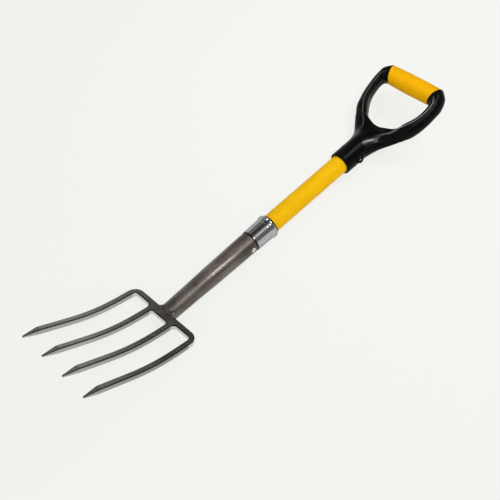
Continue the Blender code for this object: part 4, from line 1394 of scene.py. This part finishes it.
    def bar(self) -> tuple[Array, Array]:
        """Return the half loops of the bar from the grip's seat to the fork's middle."""
        seat = self.place.half_length + self.clearance
        middle = joined(self.place.reach, np.array([seat, seat / 2.0, 0.0]))
        step = joined(self.bar_radius, np.array([self.place.end_slope * self.bar_radius, 0.0, 0.0]))
        depth = np.full(3, self.bar_radius)
        outer = self.half_loops(middle, middle + step, depth, self.outer_points, ELLIPSE)
        inner = self.half_loops(middle, middle - step, depth, self.inner_points, ELLIPSE)
        return outer, inner

    def bossed(self, grid: Array, height: float, flare: float) -> Array:
        """Raise the rivet's boss from the collar, with a round sink in the middle of its top.

        Args:
            grid: The handle's outer side.
            height: How far the boss stands out of the collar.
            flare: How far the boss spreads at its foot.

        Returns:
            The grid with the boss.
        """
        distance = np.hypot(grid[..., 0] - HANDLE_RIVET, grid[..., 2])
        foot = self.boss_radius + flare
        rise = ramp(distance, foot, -(flare + self.boss_round)) * (distance < foot)
        sink = self.boss_sink * ramp(distance, self.sink_radius, -self.sink_round)
        result = grid.copy()
        result[..., 1] += np.maximum(self.collar_radius + height - grid[..., 1], 0.0) * rise - sink
        return result

    def crested(self, grid: Array) -> tuple[Array, Array, Array]:
        """Raise the crest that runs from the neck along the arm, and sink the web inside it.

        The crest's section is height exp(-(d / width)^2), d being the distance in plan.

        Args:
            grid: The handle's outer or inner side.

        Returns:
            The grid with the crest, how much each point belongs to the arm's painted highlight
            line, and to the neck's polished crest.
        """
        along, across = grid[..., 0], grid[..., 1]
        knots = np.array(self.crest_line)
        reach = np.linspace(knots[0, 0], knots[-1, 0], self.crest_points)
        width = np.interp(reach, knots[:, 0], knots[:, 1])
        apart = np.hypot(along[..., None] - reach, across[..., None] - width).min(axis=-1)
        spread = lerp(*self.crest_widths, ramp(along, *self.narrowing))
        fade = ramp(along, *self.crest_in) * (1.0 - ramp(along, *self.crest_out))
        near = np.exp(-((apart / spread) ** 2)) * fade
        inside = ramp(np.interp(along, reach, width), across, self.web_edge)
        web = inside * ramp(along, *self.web_in) * (1.0 - ramp(along, *self.web_out))
        face = np.linspace(1.0, -1.0, grid.shape[1])[None, :]
        side = np.sign(face) * ramp(np.abs(face), *self.faced)
        result = grid.copy()
        result[..., 2] += side * (self.crest_height * near - self.web_sink * web)
        arm = ramp(along, *self.on_arm)
        front = ramp(face, *self.fronted)
        # A light line painted along the arm's crest stands for its highlight.
        painted_highlight = np.exp(-((apart / self.line_width) ** 2)) * fade * arm * front
        return result, painted_highlight, ramp(near, *self.polished) * (1.0 - arm) * front

    def skin(self) -> Skin:
        """Loft one side, add the collar's bore, and do the same for the other side."""
        outer, inner = self.outer_and_inner()
        inside = np.array([
            (self.start, self.bore + self.bore_round),
            (self.start + self.bore_round, self.bore),
            (self.start + self.depth, self.bore),
            (self.start + self.depth, 0.0),
        ])
        turn = np.linspace(0.5 * math.pi, -0.5 * math.pi, self.outer_points)[None, :]
        bore = joined(inside[:, :1], inside[:, 1:] * np.cos(turn), inside[:, 1:] * np.sin(turn))
        bore[:, [0, -1], 1] = 0.0
        skin = Skin()
        sides = zip((1.0, -1.0), self.boss_heights, self.boss_flares, self.highlight_and_polish)
        for way, height, flare, highlight_and_polish in sides:
            for grid in (np.vstack([outer[:1], bore]), self.bossed(outer, height, flare), inner):
                crested, painted_highlight, polished = self.crested(grid)
                laid = self.place.bend(crested * np.array([1.0, way, 1.0]), self.start)
                skin.add(laid, edge=highlight_and_polish * painted_highlight, side=highlight_and_polish * polished)
        return skin


@dataclass(frozen=True)
class Photograph:
    """The camera that took the photograph, fitted to the outlines in it.

    Attributes:
        size: The picture's side in pixels, as focal is the focal length.
        right: The picture's right in the fork's frame, as down and ahead are its other axes.
        offset: The fork's zero as seen from the camera, along those three, in millimetres.
    """

    size: float = 500.0
    focal: float = 900.0
    right: Colour = (0.7100, -0.6864, -0.1576)
    down: Colour = (-0.6198, -0.5027, -0.6027)
    ahead: Colour = (0.3344, 0.5256, -0.7823)
    offset: Colour = (30.36694, -37.91924, 1284.46910)
    sensor: float = 36.0
    far: float = 50.0

    def set_up(self, line: ShaftLine) -> None:
        """Put a camera where the photograph's was, on axes made exactly square to each other."""
        left, _, right = np.linalg.svd(np.array([self.right, self.down, self.ahead]))
        rows = left @ right
        pose = np.eye(4)
        pose[:3, :3] = (rows * np.array([[1.0], [-1.0], [-1.0]])).T
        pose[:3, 3] = -rows.T @ np.array(self.offset) * MM
        data = bpy.data.cameras.new("photograph")
        data.sensor_width = self.sensor
        data.lens = self.sensor * self.focal / self.size
        data.clip_end = self.far
        camera = new_object("photograph", data)
        camera.matrix_world = line.move @ Matrix(pose.tolist())
        bpy.context.scene.camera = camera


@dataclass(frozen=True)
class Lamp:
    """A soft rectangular lamp, aimed at a point of the fork.

    Attributes:
        direction: Where it hangs, seen from its target.
        distance: How far away it is, in metres.
        target: The station along the shaft that it is aimed at, in millimetres.
        size: Its sides in metres.
        power: Its power in watts.
        glints: Whether shiny surfaces mirror it.
    """

    name: str
    direction: Colour
    distance: float
    target: float
    size: Pair
    power: float
    glints: bool = True

    def hang(self, line: ShaftLine) -> None:
        """Hang the lamp with its first side along the shaft."""
        data = bpy.data.lights.new(self.name, "AREA")
        data.shape = "RECTANGLE"
        data.size, data.size_y = self.size
        data.energy = self.power
        away = Vector(self.direction).normalized()
        side = Vector((1.0, 0.0, 0.0))
        side = (side - away * side.dot(away)).normalized()
        pose = Matrix((side, away.cross(side), away)).transposed().to_4x4()
        pose.translation = Vector((self.target * MM, 0.0, 0.0)) + away * self.distance
        lamp = new_object(self.name, data)
        lamp.matrix_world = line.move @ pose
        lamp.visible_glossy = self.glints
        lamp.visible_camera = False


@dataclass(frozen=True)
class Studio:
    """A pale floor, a studio that is brighter low down than overhead, and soft lamps.

    Attributes:
        paper: The colour of the floor behind the fork.
        floor_albedo: How much light the floor gives back to the fork.
        shadow_share: How much of the fork's shadow shows on the floor.
        around: The panels' levels, by the angle about the fork's length in degrees.
        handle_end: The share towards +X from which and to which the panels give way, and the
            level of what follows. doorway lies further on, and tine_end the other way.
        backdrop: The heights between which the paper's colour gives way to the studio.
    """

    paper: Colour = (0.887, 0.896, 0.855)
    floor_albedo: float = 0.93
    shadow_share: float = 0.12
    floor_side: float = 8.0
    floor_level: float = -0.0003
    floor_points: int = 9
    around: tuple[Pair, ...] = (
        (0.0, 0.6), (15.0, 0.5), (24.0, 0.4), (31.0, 0.2), (41.0, 0.25), (48.0, 0.32),
        (56.0, 0.15), (62.0, 0.07), (79.0, 0.07), (87.0, 0.12), (98.0, 0.33), (105.0, 0.9),
        (117.0, 0.9), (124.0, 0.28), (131.0, 0.2), (140.0, 0.27), (148.0, 0.17), (155.0, 0.2),
        (163.0, 0.42), (170.0, 0.72), (180.0, 0.8),
    )
    handle_end: Colour = (0.42, 0.62, 0.25)
    doorway: Colour = (0.7, 0.8, 0.03)
    tine_end: Colour = (0.35, 0.75, 0.9)
    backdrop: Pair = (0.06, 0.28)
    lamps: tuple[Lamp, ...] = (
        Lamp("key lamp", (0.26, -0.54, 0.80), 1.5, -115.0, (0.10, 0.34), 4.6),
        Lamp("side lamp", (0.21, 0.33, 0.92), 1.5, -115.0, (0.10, 1.2), 0.8),
        Lamp("crown lamp", (0.54, -0.30, 0.79), 1.0, 200.0, (0.30, 0.40), 4.0),
        Lamp("top lamp", (-0.1, 0.3, 0.93), 0.45, 275.0, (0.12, 0.12), 0.4),
        Lamp("fill lamp", (-0.9, -0.8, 0.85), 2.0, 0.0, (1.8, 1.6), 14.0, False),
    )

    def floor(self) -> None:
        """Lay the floor: a flat grid that shows the paper's colour and keeps the fork's shadow."""
        side = np.linspace(-self.floor_side / 2.0, self.floor_side / 2.0, self.floor_points)
        points = joined(side[:, None], side[None, :], self.floor_level).reshape(-1, 3)
        index = np.arange(len(points)).reshape(self.floor_points, self.floor_points)
        mesh = bpy.data.meshes.new("floor")
        mesh.from_pydata(points.tolist(), [], quads_between(index).tolist())
        material = bpy.data.materials.new("pale floor")
        sheet = Sheet(material)
        lit = sheet.wire("ShaderNodeBsdfDiffuse", None, {"Color": (*[self.floor_albedo] * 3, 1.0)})
        paper = {"Color": (*self.paper, 1.0), "Strength": 1.0}
        glow = sheet.wire("ShaderNodeEmission", None, paper)
        shown = sheet.wire("ShaderNodeMixShader", None, {0: self.shadow_share, 1: glow, 2: lit})
        both = sheet.wire("ShaderNodeMixShader", None, {0: self.seen(sheet), 1: lit, 2: shown})
        sheet.node("ShaderNodeOutputMaterial", None, {"Surface": both})
        mesh.materials.append(material)
        floor = new_object("floor", mesh)

    @staticmethod
    def seen(sheet: Sheet) -> Wire:
        """Return 1 for rays that show a thing to the camera, straight or by a mirror."""
        path = sheet.node("ShaderNodeLightPath")
        rays = ("Is Camera Ray", "Is Glossy Ray", "Is Transmission Ray")
        camera, glossy, through = (Wire(sheet, path.outputs[ray]) for ray in rays)
        return camera.maths("MAXIMUM", camera.maths("MAXIMUM", camera, glossy), through)

    def surround(self) -> None:
        """Paint the studio round the fork by the angle about its length, as long soft panels."""
        world = bpy.data.worlds.new("studio")
        bpy.context.scene.world = world
        sheet = Sheet(world)
        x, y, z = sheet.axes(sheet.wire("ShaderNodeTexCoord", output="Generated"))
        angle = x.maths("ARCTAN2", z, y) * (1.0 / math.pi)
        stops = [(degrees / 180.0, (level, level, level)) for degrees, level in self.around]
        studio = sheet.wire("ShaderNodeValToRGB", {"stops": stops}, {"Fac": angle})
        ends = ((x, self.handle_end), (x, self.doorway), (-1.0 * x, self.tine_end))
        for towards, (low, high, level) in ends:
            studio = sheet.blend(towards.ease(low, high), studio, (level,) * 3)
        camera = Wire(sheet, sheet.node("ShaderNodeLightPath").outputs["Is Camera Ray"])
        low = 1.0 - z.size().ease(*self.backdrop)
        shown = camera.maths("MAXIMUM", camera, self.seen(sheet) * low)
        colour = sheet.blend(shown, studio, self.paper)
        light = sheet.wire("ShaderNodeBackground", None, {"Color": colour, "Strength": 1.0})
        sheet.node("ShaderNodeOutputWorld", None, {"Surface": light})

    def set_up(self, line: ShaftLine) -> None:
        """Lay the floor, paint the studio and hang the lamps."""
        self.floor()
        self.surround()
        for lamp in self.lamps:
            lamp.hang(line)
        bpy.context.scene.view_settings.view_transform = "Standard"


def main() -> None:
    """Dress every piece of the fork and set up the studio."""
    logging.basicConfig(level=logging.INFO, format="%(name)s: %(message)s")
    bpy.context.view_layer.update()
    line = ShaftLine.from_model()
    forged = LacqueredSteel(
        "forged steel, lacquered", dark=(0.047, 0.043, 0.040), light=(0.32, 0.311, 0.302),
        # edge paints dark reflection lines on the rounded edges, and side a light floor reflection
        # on the walls.
        edge=(0.015, 0.014, 0.014), side=(0.72, 0.69, 0.69), roughness=0.26,
        # span paints a light gradient over the head, lighter down it and towards +Y.
        lines=Pattern(900.0, 3.0, ALONG), span=0.75,
    ).material(line)
    tube = LacqueredSteel(
        "tube steel, lacquered", dark=(0.08, 0.067, 0.058), light=(0.215, 0.186, 0.168),
        # The tube's edge colour paints shade at its rim.
        edge=(0.02, 0.018, 0.017), side=(0.2, 0.18, 0.17), roughness=0.36,
        lines=Pattern(700.0, 3.0, ALONG), polished=(-0.104, 0.025), polish=0.12, swell=0.0006,
    ).material(line)
    weld = LacqueredSteel(
        "weld, lacquered", dark=(0.08, 0.069, 0.062), light=(0.19, 0.165, 0.15),
        edge=(0.03, 0.028, 0.026), side=(0.1, 0.09, 0.085), roughness=0.4,
        lines=Pattern(400.0, 3.0, ALONG),
    ).material(line)
    plated = PlatedSteel("bright plating", (0.47, 0.475, 0.49), roughness=0.035).material(line)
    bright = PlatedSteel("bright zinc", (0.78, 0.76, 0.73), roughness=0.28).material(line)
    yellow = Plastic(
        "yellow jacket", (0.77, 0.43, 0.0005), (0.71, 0.39, 0.0005),
        roughness=0.42, skin=0.00001, grain=Pattern(1800.0, 2.0), gloss=0.06,
    ).material(line)
    sleeve = Plastic(
        "orange-yellow sleeve", (0.70, 0.35, 0.0005), (0.655, 0.32, 0.0005),
        roughness=0.55, skin=0.00003, grain=Pattern(2600.0, 2.0), gloss=0.05,
    ).material(line)
    black = Plastic(
        "black moulding", (0.002, 0.0016, 0.0018), (0.004, 0.0034, 0.0036),
        roughness=0.2, skin=0.000003, grain=Pattern(1400.0, 2.0), gloss=0.05, shine=1.0,
        # This colour paints a highlight along the arms' crests.
        painted_highlight=(0.16, 0.157, 0.155),
    ).material(line)
    handle_rivet = Rivet(
        "handle_rivet_head", "handle_rivet", station=HANDLE_RIVET, half_span=18.7, head_height=1.1
    )
    dressed = (
        (TineHead(), forged),
        (Socket(), tube),
        (WeldBead(), weld),
        (Ferrule(), plated),
        (Jacket(), yellow),
        (Rivet("socket_rivet_head", "socket_rivet"), bright),
        (handle_rivet, bright),
        (HandleFrame(), black),
        (GripSleeve(), sleeve),
    )
    for form, finish in dressed:
        form.build(line, finish)
    core = frame["nodes"]["shaft_core"]
    core.data.materials.clear()
    core.data.materials.append(BareRod().material(line))
    Photograph().set_up(line)
    Studio().set_up(line)


if __name__ == "__main__":
    main()
